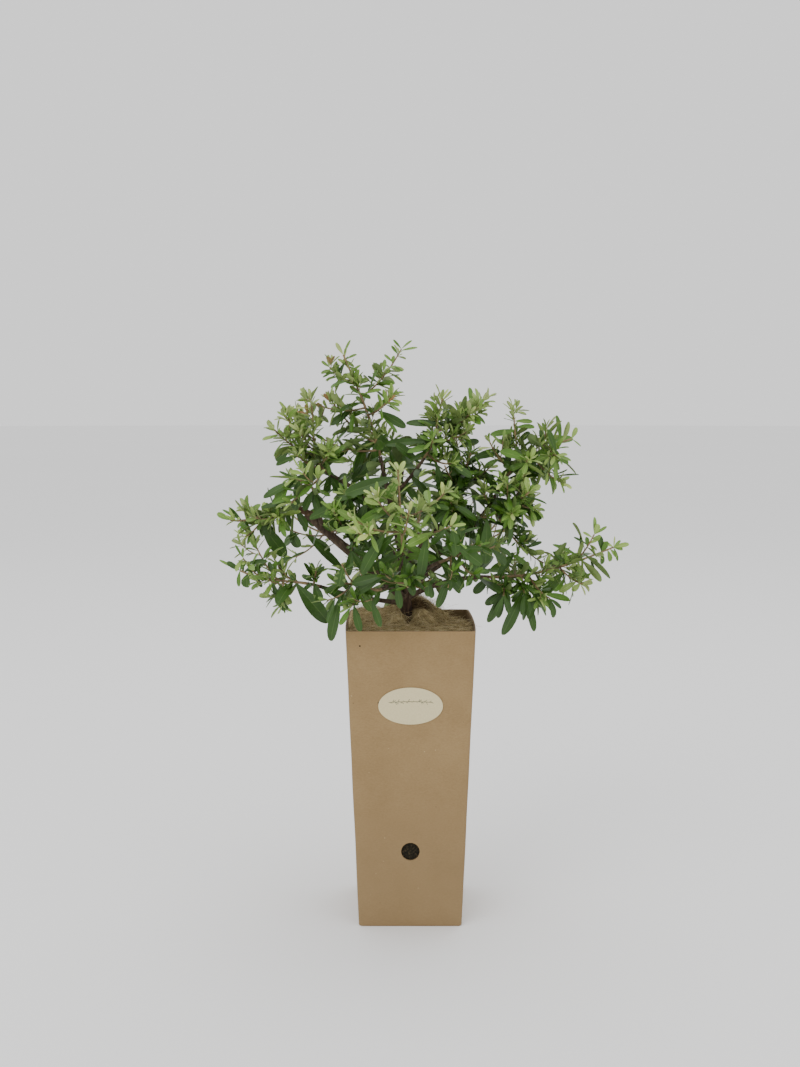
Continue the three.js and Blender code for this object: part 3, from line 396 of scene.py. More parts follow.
        (0, 0.6, 166, 14, 0.25, 0.4), (1, 0, -83, 14, 0.35, 0.5), (0, 0.7, -80, 15, 0.4, 0.3),
        (0, 0.8, -72, 14, 0.18, 0.5), (0, 0.8, -44, 9, 0.5, 0.4), (0, 0.4, 47, 13, 0.3, 0.9),
        (0, 0.35, 136, 22, 0.22, 0.6), (0, 0, -132, 18, 0.4, 0.6), (5, 0.65, -144, 18, 0.35, 0.8),
        (0, 0, -39, 22, 0.3, 1), (0, 0.35, 150, 16, 0.3, 0.9), (6, 0.1, -27, 18, 0.28, 0.8),
        (0, 0.35, -50, 13, 0.35, 0.9), (6, 0.75, -130, 14, 0.3, 0.8), (5, 0.8, -102, 20, 0.25, 0.9),
        (6, 0.45, -148, 16, 0.35, 0.9), (5, 0.3, -35, 15, 0.4, 0.9), (0, 0.55, -60, 9, 0.35, 0.6),
        (6, 1, -95, 18, 0.28, 0.8), (3, 1, -75, 16, 0.28, 0.8), (5, 0.9, -70, 16, 0.3, 0.8),
        (5, 1, -110, 18, 0.28, 0.9),
        (0, 1, 150, 9, 0.3, 0.3), (0, 1, 45, 8, 0.3, 0.2), (0, 0.97, -50, 9, 0.35, 0.4),
        (0, 0.85, 120, 9, 0.3, 0.4),
        (1, 0.9, 150, 9, 0.25, 0.4), (1, 0.85, 20, 8, 0.35, 0.3), (1, 0.7, 30, 10, 0.3, 0.4)],
    "back_high": [
        (2, 0.6, -147, 39, 0.22, 0.9), (4, 0.6, -118, 38, 0.25, 0.7), (2, 1, 180, 17, 0.5, 0.4),
        (2, 0.4, -145, 30, 0.2, 0.5)],
    "back_left": [
        (2, 0.45, -43, 42, 0.17, 0.9), (2, 0.45, -32, 25, 0.28, 0.8), (0, 0.65, -85, 12, 0.35, 0.6),
        (4, 0.95, -158, 16, 0.38, 0.6), (2, 0.8, -67, 17, 0.5, 0.9), (2, 0.65, -138, 16, 0.6, 0.9),
        (4, 0.6, -160, 15, 0.14, 0.8)],
    "back_right": [(4, 0.95, -151, 18, 0.3, 0.6)],
    "back_low": [(2, 0.55, -152, 24, 0.26, 0.8)],
}


def plan_limbs():
    """Every limb's line and its radius as a function of the share of its length."""
    def flared(share):
        flare = 1 + TRUNK["flare"] * np.exp(-share / TRUNK["flare_share"])
        return mix(TRUNK["foot"], TRUNK["tip"], share) * flare

    foot = np.array([0, 0, COMPOST_TOP - TRUNK["foot"]])
    limbs = {"trunk": (limb_line(foot, place(*TRUNK_TIP), TRUNK["rise"]), flared)}
    for name, (parent, share, tip, (thick, thin), rise) in BOUGHS.items():
        from_line = limbs[parent][0]
        if share == 1:
            line = line_on_from(from_line, place(*tip), rise)
        else:
            line = limb_line(from_line.at(share), place(*tip), rise)
        limbs[name] = (line, lambda share, thick=thick, thin=thin: mix(thick, thin, share))
    return limbs


# ---- Growth ----
# A list holds a value for the stem, the side shoots, the twigs, and the fine twigs, in that order.
SHOOT = {
    "foot": 1.25, "tip": 0.7, "side": 0.8, "twig": 0.65, "sag": 0.1,
    "bare": [0.1, 0.2, 0.2, 0.15], "ageing": [0.9, 0.75, 0.6, 0.35],
}
TWIG = {"count": 2, "length": 20, "first_share": 0.2, "shares": 0.65, "spread": 50, "lift": 0.35}
CLEAR = {"space": 1.6, "limb": 1.2, "twig": 7, "pot": 2, "leaf": 2.2, "sample": 4}
LEAF = {
    "old": 41, "young": 9, "widest": 0.58, "broadest": 0.64, "reach": 0.36, "droop": 0.12,
    "pitch": 11.5, "at_tip": 2, "tip_share": 0.96, "tip_age": 0.1, "tip_spread": 36,
    "spread": 50, "spread_by_age": 25, "lift": 0.25, "hang": 1.4, "roll": 65, "smaller": 0.67,
}
# The fine growth between the leaves: a node every `pitch`, with a fine twig or a tuft of small leaves.
FINE = {
    "pitch": 4.6, "twig_share": 0.26, "twig": (6, 13), "tuft": (1, 4), "tip_tuft": (4, 6),
    "small": (9.5, 19), "radius": 0.3, "spread": 50, "tip_reach": 6,
}
# How full a mass is: of fine growth at the feet of its shoots, and at their tips; of the leaves that fill
# it from inside; and of the large leaves that grow by chance.
USUAL_FULLNESS = (1, 0.7, 1, 1)
FULLNESS = {
    "top": (1.8, 0.4, 1.4, 0.85), "upper_left": (2, 1.4, 1.8, 1), "left_high": (0.8, 0.4, 1.4, 0.8),
    "left": (0.6, 1, 0.7, 0.5), "left_low": (0.6, 0.6, 0.1, 0.25), "front_left": (0.4, 0.25, 0.4, 1),
    "front_low": (0.5, 0.3, 0.6, 1), "front": (0.9, 0.45, 1, 1), "front_right": (0.5, 0.4, 0.5, 0.8),
    "centre_high": (2.4, 1.1, 1.8, 1), "right_high": (1.8, 0.1, 1.7, 0.4), "right": (3, 1.2, 0.7, 0.7),
    "right_low": (1.6, 0.35, 1.4, 0.25), "inner_left": (1.8, 1.2, 2.6, 1), "inner_right": (2.6, 1.5, 2.4, 1),
    "back_left": (0.25, 0.25, 0.05, 0.15), "back_right": (0.2, 0.2, 0.1, 0.4),
    "back_high": (1, 0.2, 0.8, 0.7),
}
# A shoot has the leaves of its tip already where more than a few of its leaves by row lie past a share.
ENDED = {"share": 0.8, "leaves": 2}
# The masses that have no twigs by their seed.
UNTWIGGED = ("top", "right", "right_low")
# The space before the stem that stays open below a height over the rim. It rises towards the front, and
# falls from its left end. The left bough shows bare between two sides, at these heights over the rim.
OPEN = {"height": 27, "rise": 0.12, "fall": 0.6, "far_left": -45, "left": -20, "right": 49}
BARE_BOUGH = {"x": (-80, -46), "height": (85, 58), "reach": 8}
# The leaves inside the crown, along the shoots and the outer parts of the boughs. They are shorter and
# younger towards a shoot's tip.
INNER = {
    "pitch": 5, "length": (16, 35), "smaller": 0.55, "age": (0.95, 0.45), "lift": (-0.75, 0.1),
    "spread": (45, 85), "roll": 70, "bare": 0.35, "along": (0.05, 0.75),
}


def random_from(seed):
    """Repeatable random numbers from 0 to 1."""
    state = seed
    while True:
        state = (state * 1664525 + 1013904223) % 2**32
        yield state / 2**32


def offshoot(heading, turn, spread):
    """A direction that leaves a line at `spread` degrees, on the side that `turn` degrees gives."""
    level = RIGHT if abs(heading[2]) > 0.9 else UP
    side = turned(unit(np.cross(heading, level)), heading, turn)
    return heading * math.cos(math.radians(spread)) + side * math.sin(math.radians(spread))


def samples(line):
    count = max(2, math.ceil(line.length / CLEAR["sample"]))
    return line.read(np.linspace(0, 1, count + 1))[0]


def nearest(points, places):
    """How far each point is from the nearest of the places."""
    if len(places) == 0:
        return np.full(len(points), np.inf)
    return np.linalg.norm(points[:, None] - places[None], axis=2).min(axis=1)


def pot_half(z):
    return mix(POT["foot"], POT["top"], z / RIM) / 2


def mat_top(x, y):
    corner = POT["top"] / 2
    hollow = np.hypot(x - corner, y - corner) / MAT["hollow_width"]
    mound = np.hypot((x - MOUND["x"]) / MOUND["along_x"], (y - MOUND["y"]) / MOUND["along_y"])
    return MAT["level"] - MAT["hollow"] * np.exp(-hollow**2) + MOUND["height"] * np.exp(-mound**2)


def clear_of_pot(points):
    x, y, z = points.T
    half = pot_half(np.minimum(z, RIM)) + POT["bow"] + CLEAR["pot"]
    over = (abs(x) < half) & (abs(y) < half)
    return bool(np.all(~over | (z > np.maximum(RIM, mat_top(x, y)) + CLEAR["pot"])))


def leaves_open(points):
    """Whether points keep out of the spaces before the stem's foot and before the left bough's middle."""
    x, y, z = points.T
    floor = RIM + OPEN["height"] - OPEN["rise"] * y - OPEN["fall"] * np.maximum(0, OPEN["left"] - x)
    before_stem = (x > OPEN["far_left"]) & (x < OPEN["right"]) & (z < floor)
    share = (x - BARE_BOUGH["x"][0]) / (BARE_BOUGH["x"][1] - BARE_BOUGH["x"][0])
    beside = abs(z - RIM - mix(*BARE_BOUGH["height"], share))
    before_bough = (share > 0) & (share < 1) & (beside < BARE_BOUGH["reach"])
    return not np.any((y < 0) & (before_stem | before_bough))


def clear_of_limbs(points, limb_points, room):
    centres, radii = limb_points
    distances = np.linalg.norm(points[:, None] - centres[None], axis=2)
    return bool(np.all(distances > radii + room))


def leading_shoots(row, limbs):
    """A mass's stem and the side shoots that its row names."""
    bough, tip, rise, _, _, side_shoots = row
    foot = min(SHOOT["foot"], BOUGHS[bough][3][1])
    stem_line = line_on_from(limbs[bough][0], place(*tip), rise)
    shoots = [{"order": 0, "line": stem_line, "radius": (foot, SHOOT["tip"])}]
    for share, *shoot_tip in side_shoots:
        start = stem_line.at(share)
        end = place(*shoot_tip)
        line = limb_line(start, end, -SHOOT["sag"] * np.linalg.norm(end - start))
        thick = mix(foot, SHOOT["tip"], share) * SHOOT["side"]
        shoots.append({"order": 1, "line": line, "radius": (thick, SHOOT["tip"] * SHOOT["side"])})
    return shoots


def seeded_twigs(seed, leading, others, limb_points):
    """Twigs set by the mass's seed, but for those that come near another mass, a limb or the pot."""
    random = random_from(seed).__next__
    twigs = []
    for k in range(TWIG["count"]):
        parent = leading[k % len(leading)]["line"]
        share = TWIG["first_share"] + TWIG["shares"] * random()
        turn = 360 * random()
        length = TWIG["length"] * (0.7 + 0.6 * random())
        heading = unit(offshoot(parent.heading(share), turn, TWIG["spread"]) + TWIG["lift"] * UP)
        start = parent.at(share)
        line = limb_line(start, start + heading * length, -SHOOT["sag"] * length)
        points = samples(line)[1:]
        apart = nearest(points, others).min() > CLEAR["twig"]
        if apart and clear_of_pot(points) and clear_of_limbs(points, limb_points, 2 * CLEAR["limb"]):
            radius = SHOOT["tip"] * SHOOT["twig"]
            twigs.append({"order": 2, "line": line, "radius": (radius, radius)})
    return twigs


def leaf_spots(shoot, age, random):
    """Where one shoot's leaves go: spirally along it, older towards its foot, and a few round its tip."""
    bare = SHOOT["bare"][shoot["order"]]
    ageing = age * SHOOT["ageing"][shoot["order"]]
    count = max(1, math.floor(shoot["line"].length * (1 - bare) / LEAF["pitch"] + 0.5))
    first_turn = 360 * random()
    for k in range(count):
        share = bare + (1 - bare) * (k + 0.3) / count
        spot_age = ageing * (1 - share**2)
        roll = LEAF["roll"] * (2 * random() - 1)
        size = 0.85 + 0.3 * random()
        spread = LEAF["spread"] + LEAF["spread_by_age"] * spot_age
        yield share, spot_age, first_turn + GOLDEN_ANGLE * k, roll, spread, size
    for k in range(LEAF["at_tip"]):
        roll = LEAF["roll"] * (2 * random() - 1)
        size = 0.9 + 0.3 * random()
        turn = first_turn + 360 * k / LEAF["at_tip"]
        yield LEAF["tip_share"], LEAF["tip_age"] * age, turn, roll, LEAF["tip_spread"], size


def leaf_at(shoot, share, age, turn, roll, spread, length):
    """A leaf's frame: its root, the way it points, and the way its upper side faces."""
    heading = shoot["line"].heading(share)
    root = shoot["line"].at(share)
    along = unit(offshoot(heading, turn, spread) + (LEAF["lift"] - LEAF["hang"] * age) * UP)
    facing = 0.5 * UP + 0.5 * outward(root) + 0.3 * heading
    facing = turned(square_to(facing, along), along, roll)
    return {"root": root, "along": along, "facing": facing, "length": length, "age": age}


def probes(leaf):
    """Points spread over a leaf that tell whether it has room."""
    across = np.cross(leaf["facing"], leaf["along"])
    shares = np.array([0.2, 0.35, 0.5, 0.65, 0.82, 1, LEAF["widest"], LEAF["widest"], 0.8, 0.8])[:, None]
    sides = np.array([0, 0, 0, 0, 0, 0, 1, -1, 0.5, -0.5])[:, None]
    length = leaf["length"]
    droop = -length * LEAF["droop"] * (0.3 + leaf["age"]) * shares**2
    blade = leaf["root"] + leaf["along"] * length * shares + across * 0.5 * sides * length * LEAF["reach"]
    return blade + leaf["facing"] * droop


def set_leaf(shoot, share, lean, length, breadth, age):
    """A leaf that lies across the view from the front, with its upper side to it."""
    root = shoot["line"].at(share)
    along = turned(RIGHT, FRONT, lean)
    facing = square_to(0.8 * FRONT + 0.4 * UP + 0.3 * outward(root), along)
    return {"root": root, "along": along, "facing": facing, "length": length, "breadth": breadth, "age": age}


def grow_leaves(seed, age, kept, shoots, own, others, limb_points, leaves):
    """The large leaves of a mass. Points on each of them keep to the mass's space, and off the limbs, the
    pot and the points of the leaves before it."""
    random = random_from(seed + 7).__next__
    chance = random_from(seed + 19).__next__
    taken = np.vstack([np.empty((0, 3)), *(probes(leaf) for leaf in leaves)])
    for shoot in shoots:
        for share, spot_age, turn, roll, spread, size in leaf_spots(shoot, age, random):
            if chance() > kept:
                continue
            full = mix(LEAF["young"], LEAF["old"], min(1, spot_age)) * size
            for length in (full, full * LEAF["smaller"]):
                leaf = leaf_at(shoot, share, spot_age, turn, roll, spread, length)
                points = probes(leaf)
                in_space = np.all(nearest(points, others) > nearest(points, own) + CLEAR["space"])
                if (
                    in_space
                    and np.all(nearest(points, taken) > CLEAR["leaf"])
                    and clear_of_pot(points)
                    and clear_of_limbs(points, limb_points, CLEAR["limb"])
                    and leaves_open(points)
                ):
                    leaves.append(leaf)
                    taken = np.vstack([taken, points])
                    break


def small_leaf(rng, shoot, share, age, turn, spread, length):
    """A small leaf of a tuft: its upper side faces its twig's tip and the light."""
    heading = shoot["line"].heading(share)
    along = unit(offshoot(heading, turn, spread) + rng.uniform(-0.15, 0.3) * UP)
    facing = turned(square_to(heading + 0.5 * UP, along), along, rng.uniform(-35, 35))
    root = shoot["line"].at(share)
    return {"root": root, "along": along, "facing": facing, "length": length, "age": age}


def grow_fine(seed, age, at_foot, at_tip, shoots, ended, own, others, limb_points):
    """The fine twigs of a mass and its tufts of small leaves, within its space. The ended shoots have the
    leaves of their tips already."""
    rng = np.random.default_rng(seed)
    twigs = []
    leaves = []

    def has_room(points):
        inside = np.all(nearest(points, others) > nearest(points, own) + CLEAR["space"])
        free = clear_of_pot(points) and clear_of_limbs(points, limb_points, CLEAR["limb"])
        return inside and free and leaves_open(points)

    def add_leaf(shoot, share, spot_age, turn, spread, size):
        length = mix(*FINE["small"], min(1, spot_age)) * size
        leaf = small_leaf(rng, shoot, share, spot_age, turn, spread, length)
        tip = leaf["root"] + leaf["along"] * leaf["length"]
        if has_room(np.array([mix(leaf["root"], tip, 0.5), tip])):
            leaves.append(leaf)

    def node(shoot, share, spot_age, turn, count):
        """One leaf with small ones where it leaves its shoot."""
        add_leaf(shoot, share, spot_age, turn, rng.uniform(42, 72), rng.uniform(0.8, 1.2))
        for _ in range(count):
            beside = turn + rng.uniform(-110, 110)
            add_leaf(shoot, share, 0.5 * spot_age, beside, rng.uniform(22, 65), rng.uniform(0.4, 0.75))

    def rosette(shoot, spot_age, count):
        """The leaves round a shoot's tip, the inner ones smaller and more upright."""
        first_turn = rng.uniform(0, 360)
        reach = min(0.4, FINE["tip_reach"] / shoot["line"].length)
        for k in range(count):
            spread = mix(62, 14, k / count) * rng.uniform(0.85, 1.15)
            size = mix(1.1, 0.7, k / count) * rng.uniform(0.85, 1.15)
            share = 1 - reach * (1 - k / (count - 1))
            add_leaf(shoot, share, spot_age, first_turn + GOLDEN_ANGLE * k, spread, size)

    for shoot in shoots:
        line = shoot["line"]
        bare = SHOOT["bare"][shoot["order"]]
        ageing = age * SHOOT["ageing"][shoot["order"]]
        count = max(1, round(line.length * (1 - bare) / FINE["pitch"] * max(1, at_foot, at_tip)))
        first_turn = rng.uniform(0, 360)
        for k in range(count):
            share = bare + (1 - bare) * (k + rng.uniform(0.2, 0.8)) / count
            spot_age = ageing * (1 - share**2)
            turn = first_turn + GOLDEN_ANGLE * k
            if rng.uniform() > mix(at_foot, at_tip, share) / max(1, at_foot, at_tip):
                continue
            if rng.uniform() > FINE["twig_share"]:
                node(shoot, share, 0.8 * spot_age, turn, rng.integers(*FINE["tuft"]))
                continue
            length = rng.uniform(*FINE["twig"]) * (1.1 - 0.5 * share)
            heading = unit(offshoot(line.heading(share), turn, FINE["spread"]) + TWIG["lift"] * UP)
            start = line.at(share)
            twig_line = limb_line(start, start + heading * length, -SHOOT["sag"] * length)
            if has_room(twig_line.read([0.5, 1])[0]):
                twig = {"order": 3, "line": twig_line, "radius": (FINE["radius"] * 1.3, FINE["radius"])}
                twigs.append(twig)
                nodes = math.floor(length / FINE["pitch"])
                for level in range(nodes):
                    along_twig = (level + 0.6) / (nodes + 0.3)
                    node(twig, along_twig, 0.6 * spot_age, turn + 90 + 150 * level, rng.integers(1, 3))
                rosette(twig, 0.3 * spot_age, rng.integers(*FINE["tip_tuft"]))
        if shoot not in ended:
            rosette(shoot, 0.1 * age, rng.integers(*FINE["tip_tuft"]))
    return twigs, leaves


def grow_inner(seed, age, fullness, bough, shoots, own, others, limb_points):
    """Leaves that fill a mass from inside, and clothe the outer part of its bough."""
    rng = np.random.default_rng(seed + 500)
    leaves = []
    for shoot in [{"order": 0, "line": bough}, *shoots]:
        if shoot["order"] > 1:
            continue
        line = shoot["line"]
        on_bough = line is bough
        low, high = (INNER["bare"], 1) if on_bough else INNER["along"]
        count = round(line.length * (high - low) / INNER["pitch"] * fullness)
        first_turn = rng.uniform(0, 360)
        for k in range(count):
            share = low + (high - low) * (k + rng.uniform()) / count
            towards_tip = 0 if on_bough else share
            heading = line.heading(share)
            along = offshoot(heading, first_turn + GOLDEN_ANGLE * k, rng.uniform(*INNER["spread"]))
            along = unit(along + rng.uniform(*INNER["lift"]) * UP)
            root = line.at(share)
            facing = 0.6 * UP + 0.4 * outward(root) + 0.3 * heading
            facing = turned(square_to(facing, along), along, rng.uniform(-INNER["roll"], INNER["roll"]))
            length = rng.uniform(*INNER["length"]) * mix(1, INNER["smaller"], towards_tip)
            length *= min(1, 0.5 + 0.5 * age)
            leaf = {"root": root, "along": along, "facing": facing, "length": length}
            leaf["age"] = min(1, age) * mix(*INNER["age"], towards_tip)
            points = root + along * length * np.array([[0.4], [0.7], [1]])
            inside = on_bough or np.all(nearest(points, others) > nearest(points, own) + CLEAR["space"])
            free = clear_of_pot(points) and clear_of_limbs(points, limb_points, CLEAR["limb"])
            if inside and free and leaves_open(points):
                leaves.append(leaf)
    return leaves


def grow_crown(limbs):
    """All shoots and leaves of the crown, each leaf with its mass."""
    centres, radii = [], []
    for line, radius_at in limbs.values():
        shares = np.linspace(0, 1, math.ceil(line.length / CLEAR["sample"]) + 1)
        centres.append(line.read(shares)[0])
        radii.append(radius_at(shares))
    limb_points = (np.vstack(centres), np.concatenate(radii))
    grown = {name: leading_shoots(row, limbs) for name, row in MASSES.items()}

    def points_of(shoots):
        return np.vstack([samples(shoot["line"]) for shoot in shoots])

    def points_of_others(name):
        return np.vstack([points_of(shoots) for other, shoots in grown.items() if other != name])

    for name, (_, _, _, seed, _, _) in MASSES.items():
        if name not in UNTWIGGED:
            grown[name] += seeded_twigs(seed, grown[name], points_of_others(name), limb_points)
    shoots, leaves = [], []
    for name, (bough, _, _, seed, age, _) in MASSES.items():
        own = points_of(grown[name])
        others = points_of_others(name)
        set_rows = SET_LEAVES.get(name, [])
        large = [set_leaf(grown[name][row[0]], *row[1:]) for row in set_rows]
        near_tips = [row[0] for row in set_rows if row[1] >= ENDED["share"]]
        ended = [shoot for k, shoot in enumerate(grown[name]) if near_tips.count(k) > ENDED["leaves"]]
        at_foot, at_tip, inside, kept = FULLNESS.get(name, USUAL_FULLNESS)
        grow_leaves(seed, age, kept, grown[name], own, others, limb_points, large)
        inner = grow_inner(seed, age, inside, limbs[bough][0], grown[name], own, others, limb_points)
        fine_twigs, small = grow_fine(
            seed, age, at_foot, at_tip, grown[name], ended, own, others, limb_points
        )
        shoots += [*grown[name], *fine_twigs]
        for leaf in [*large, *inner, *small]:
            leaf["mass"] = name
            leaves.append(leaf)
    return shoots, leaves


# ---- Shapes that are repeated ----
class Shape:
    """A small shape that is laid out many times: its vertices, and its faces as runs of corners."""

    def __init__(self, bm):
        bm.verts.index_update()
        self.points = np.array([vertex.co for vertex in bm.verts])
        self.sizes = np.array([len(face.verts) for face in bm.faces])
        self.corners = np.array([vertex.index for face in bm.faces for vertex in face.verts])
        self.finishes = np.array([face.material_index for face in bm.faces])
        bm.free()


def smoothed(mesh, crease):
    """Shades a mesh smooth, but for its edges that are folded by more than `crease` degrees."""
    mesh.polygons.foreach_set("use_smooth", np.ones(len(mesh.polygons), dtype=bool))
    mesh.set_sharp_from_angle(angle=math.radians(crease))


def joined(name, shape, places, finishes, crease=60):
    """A piece of many copies of a shape. `places` holds each copy's vertices in millimetres."""
    count = len(places)
    shift = np.arange(count)[:, None]
    mesh = bpy.data.meshes.new(name)
    mesh.vertices.add(count * len(shape.points))
    mesh.vertices.foreach_set("co", (places * MM).astype(np.float32).ravel())
    mesh.loops.add(count * len(shape.corners))
    corners = shape.corners + shift * len(shape.points)
    mesh.loops.foreach_set("vertex_index", corners.astype(np.int32).ravel())
    mesh.polygons.add(count * len(shape.sizes))
    starts = np.concatenate([[0], np.cumsum(shape.sizes)[:-1]]) + shift * len(shape.corners)
    mesh.polygons.foreach_set("loop_start", starts.astype(np.int32).ravel())
    mesh.polygons.foreach_set("material_index", np.tile(shape.finishes, count).astype(np.int32))
    mesh.update(calc_edges=True)
    mesh.validate()
    smoothed(mesh, crease)
    return finished(name, mesh, finishes)


def in_scene(name, data):
    thing = bpy.data.objects.new(name, data)
    bpy.context.scene.collection.objects.link(thing)
    return thing


def finished(name, mesh, finishes):
    """Puts a mesh in the scene as a piece of the plant, with its materials."""
    piece = in_scene(name, mesh)
    for finish in finishes:
        mesh.materials.append(finish)
    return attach(piece, "root")


def tube_shape(sides, rings):
    """A straight capped tube of radius 1 from z = 0 to 1, with its rings evenly spaced."""
    bm = bmesh.new()
    bmesh.ops.create_cone(bm, cap_ends=True, segments=sides, radius1=1, radius2=1, depth=1)
    bmesh.ops.translate(bm, verts=bm.verts, vec=(0, 0, 0.5))
    lengthways = [edge for edge in bm.edges if abs(edge.verts[0].co.z - edge.verts[1].co.z) > 0.5]
    if rings > 1:
        bmesh.ops.subdivide_edges(bm, edges=lengthways, cuts=rings - 1)
    return Shape(bm)


def frames(line, steps):
    """Places along a line, and two directions at each that are square to it and don't spin."""
    places, headings = line.read(np.linspace(0, 1, steps + 1))
    side = UP if abs(headings[0][2]) < 0.9 else RIGHT
    sides = []
    for heading in headings:
        side = square_to(side, heading)
        sides.append(side)
    return places, np.array(sides), np.cross(headings, sides)


def wrapped(shape, rings, line, radius_at):
    """A tube shape's vertices wrapped round a line. radius_at takes shares and angles."""
    x, y, z = shape.points.T
    ring = np.rint(z * rings).astype(int)
    angle = np.arctan2(y, x)
    centres, sides, backs = frames(line, rings)
    radius = radius_at(z, angle)[:, None]
    spokes = sides[ring] * np.cos(angle)[:, None] + backs[ring] * np.sin(angle)[:, None]
    return centres[ring] + spokes * radius


def leaf_width(share):
    """A leaf's half width, 1 at its widest: it widens slowly from its stalk and ends in a round tip."""
    if share < LEAF["broadest"]:
        return math.sin(math.pi / 2 * share / LEAF["broadest"]) ** 1.1
    return max(0, 1 - ((share - LEAF["broadest"]) / (1 - LEAF["broadest"])) ** 2.2) ** 0.5


def leaf_shape(rings, rib):
    """A leaf as a flattened ball of six meridians: two edges, and the two sides of its midrib above and
    below. x is its side, y its upper side and z its share of the length. Finishes: upper, under, midrib."""
    bm = bmesh.new()
    bmesh.ops.create_uvsphere(bm, u_segments=6, v_segments=rings, radius=1)
    bmesh.ops.rotate(bm, verts=bm.verts, matrix=Matrix.Rotation(math.pi / 2, 3, "Z"))
    for face in bm.faces:
        middle = face.calc_center_median()
        face.material_index = 1 if middle.y < 0 else 2 if abs(middle.x) < 0.3 else 0
    for vertex in bm.verts:
        x, y, z = vertex.co
        share = min(1, max(0, (1 + z) / 2))
        stalk = 0.06 * math.sqrt(1 - share)
        girth = math.hypot(x, y)
        lean = x / girth if girth > 1e-6 else 0
        across = math.copysign(1 if abs(lean) > 0.9 else rib, lean) if girth > 1e-6 else 0
        above = 0 if abs(lean) > 0.9 or girth < 1e-6 else math.copysign(1, y)
        vertex.co = (across * (leaf_width(share) + stalk), above, share)
    return Shape(bm)


# A blade: its breadth as a share of its length, and how much broader the short ones are; how it droops and
# is cupped, and how age changes that; how far it twists; and its thickness. Pairs are the bounds of chance.
BLADE = {
    "breadth": 0.24, "broader": 0.13, "short": 14, "breadths": (0.65, 1.2),
    "droop": 0.05, "droop_by_age": 0.16, "droops": (0.2, 1.3), "twists": (-0.5, 0.5),
    "cup": 0.5, "cup_by_age": 0.22, "cups": (0.6, 1.4), "thick": 0.09, "thick_by_length": 0.008,
}


def laid(shape, leaves, rng):
    """The vertices of leaves: the shape put in each leaf's frame, then drooped, cupped and twisted."""
    def column(values):
        return np.array(values, dtype=float)[:, None, None]

    root, along, facing = (
        np.array([leaf[key] for leaf in leaves])[:, None] for key in ("root", "along", "facing")
    )
    length = column([leaf["length"] for leaf in leaves])
    age = column([min(1, leaf["age"]) for leaf in leaves])
    given = column([leaf.get("breadth", 0) for leaf in leaves])

    def chance(bounds):
        return column(rng.uniform(*BLADE[bounds], len(leaves)))

    breadth = BLADE["breadth"] + BLADE["broader"] * np.exp(-((length / BLADE["short"]) ** 2))
    breadth = breadth * chance("breadths")
    breadth = np.where(given > 0, given, breadth)
    droop = (BLADE["droop"] + BLADE["droop_by_age"] * age) * chance("droops")
    twist = chance("twists")
    cup = (BLADE["cup"] - BLADE["cup_by_age"] * age) * chance("cups")
    side, above, share = (shape.points[None, :, k, None] for k in range(3))
    across = np.cross(facing, along)
    turn = twist * share
    leaf_across = across * np.cos(turn) + facing * np.sin(turn)
    half = 0.5 * breadth * length
    thickness = 0.5 * (BLADE["thick"] + BLADE["thick_by_length"] * length)
    height = above * thickness + cup * half * abs(side) - droop * length * share**2
    return root + along * length * share + leaf_across * side * half + facing * height


# ---- Finishes ----
def tone(red, green, blue):
    """A colour from its 0 to 255 screen values."""
    def light(value):
        return ((value / 255 + 0.055) / 1.055) ** 2.4 if value > 10 else value / 3294

    return light(red), light(green), light(blue), 1


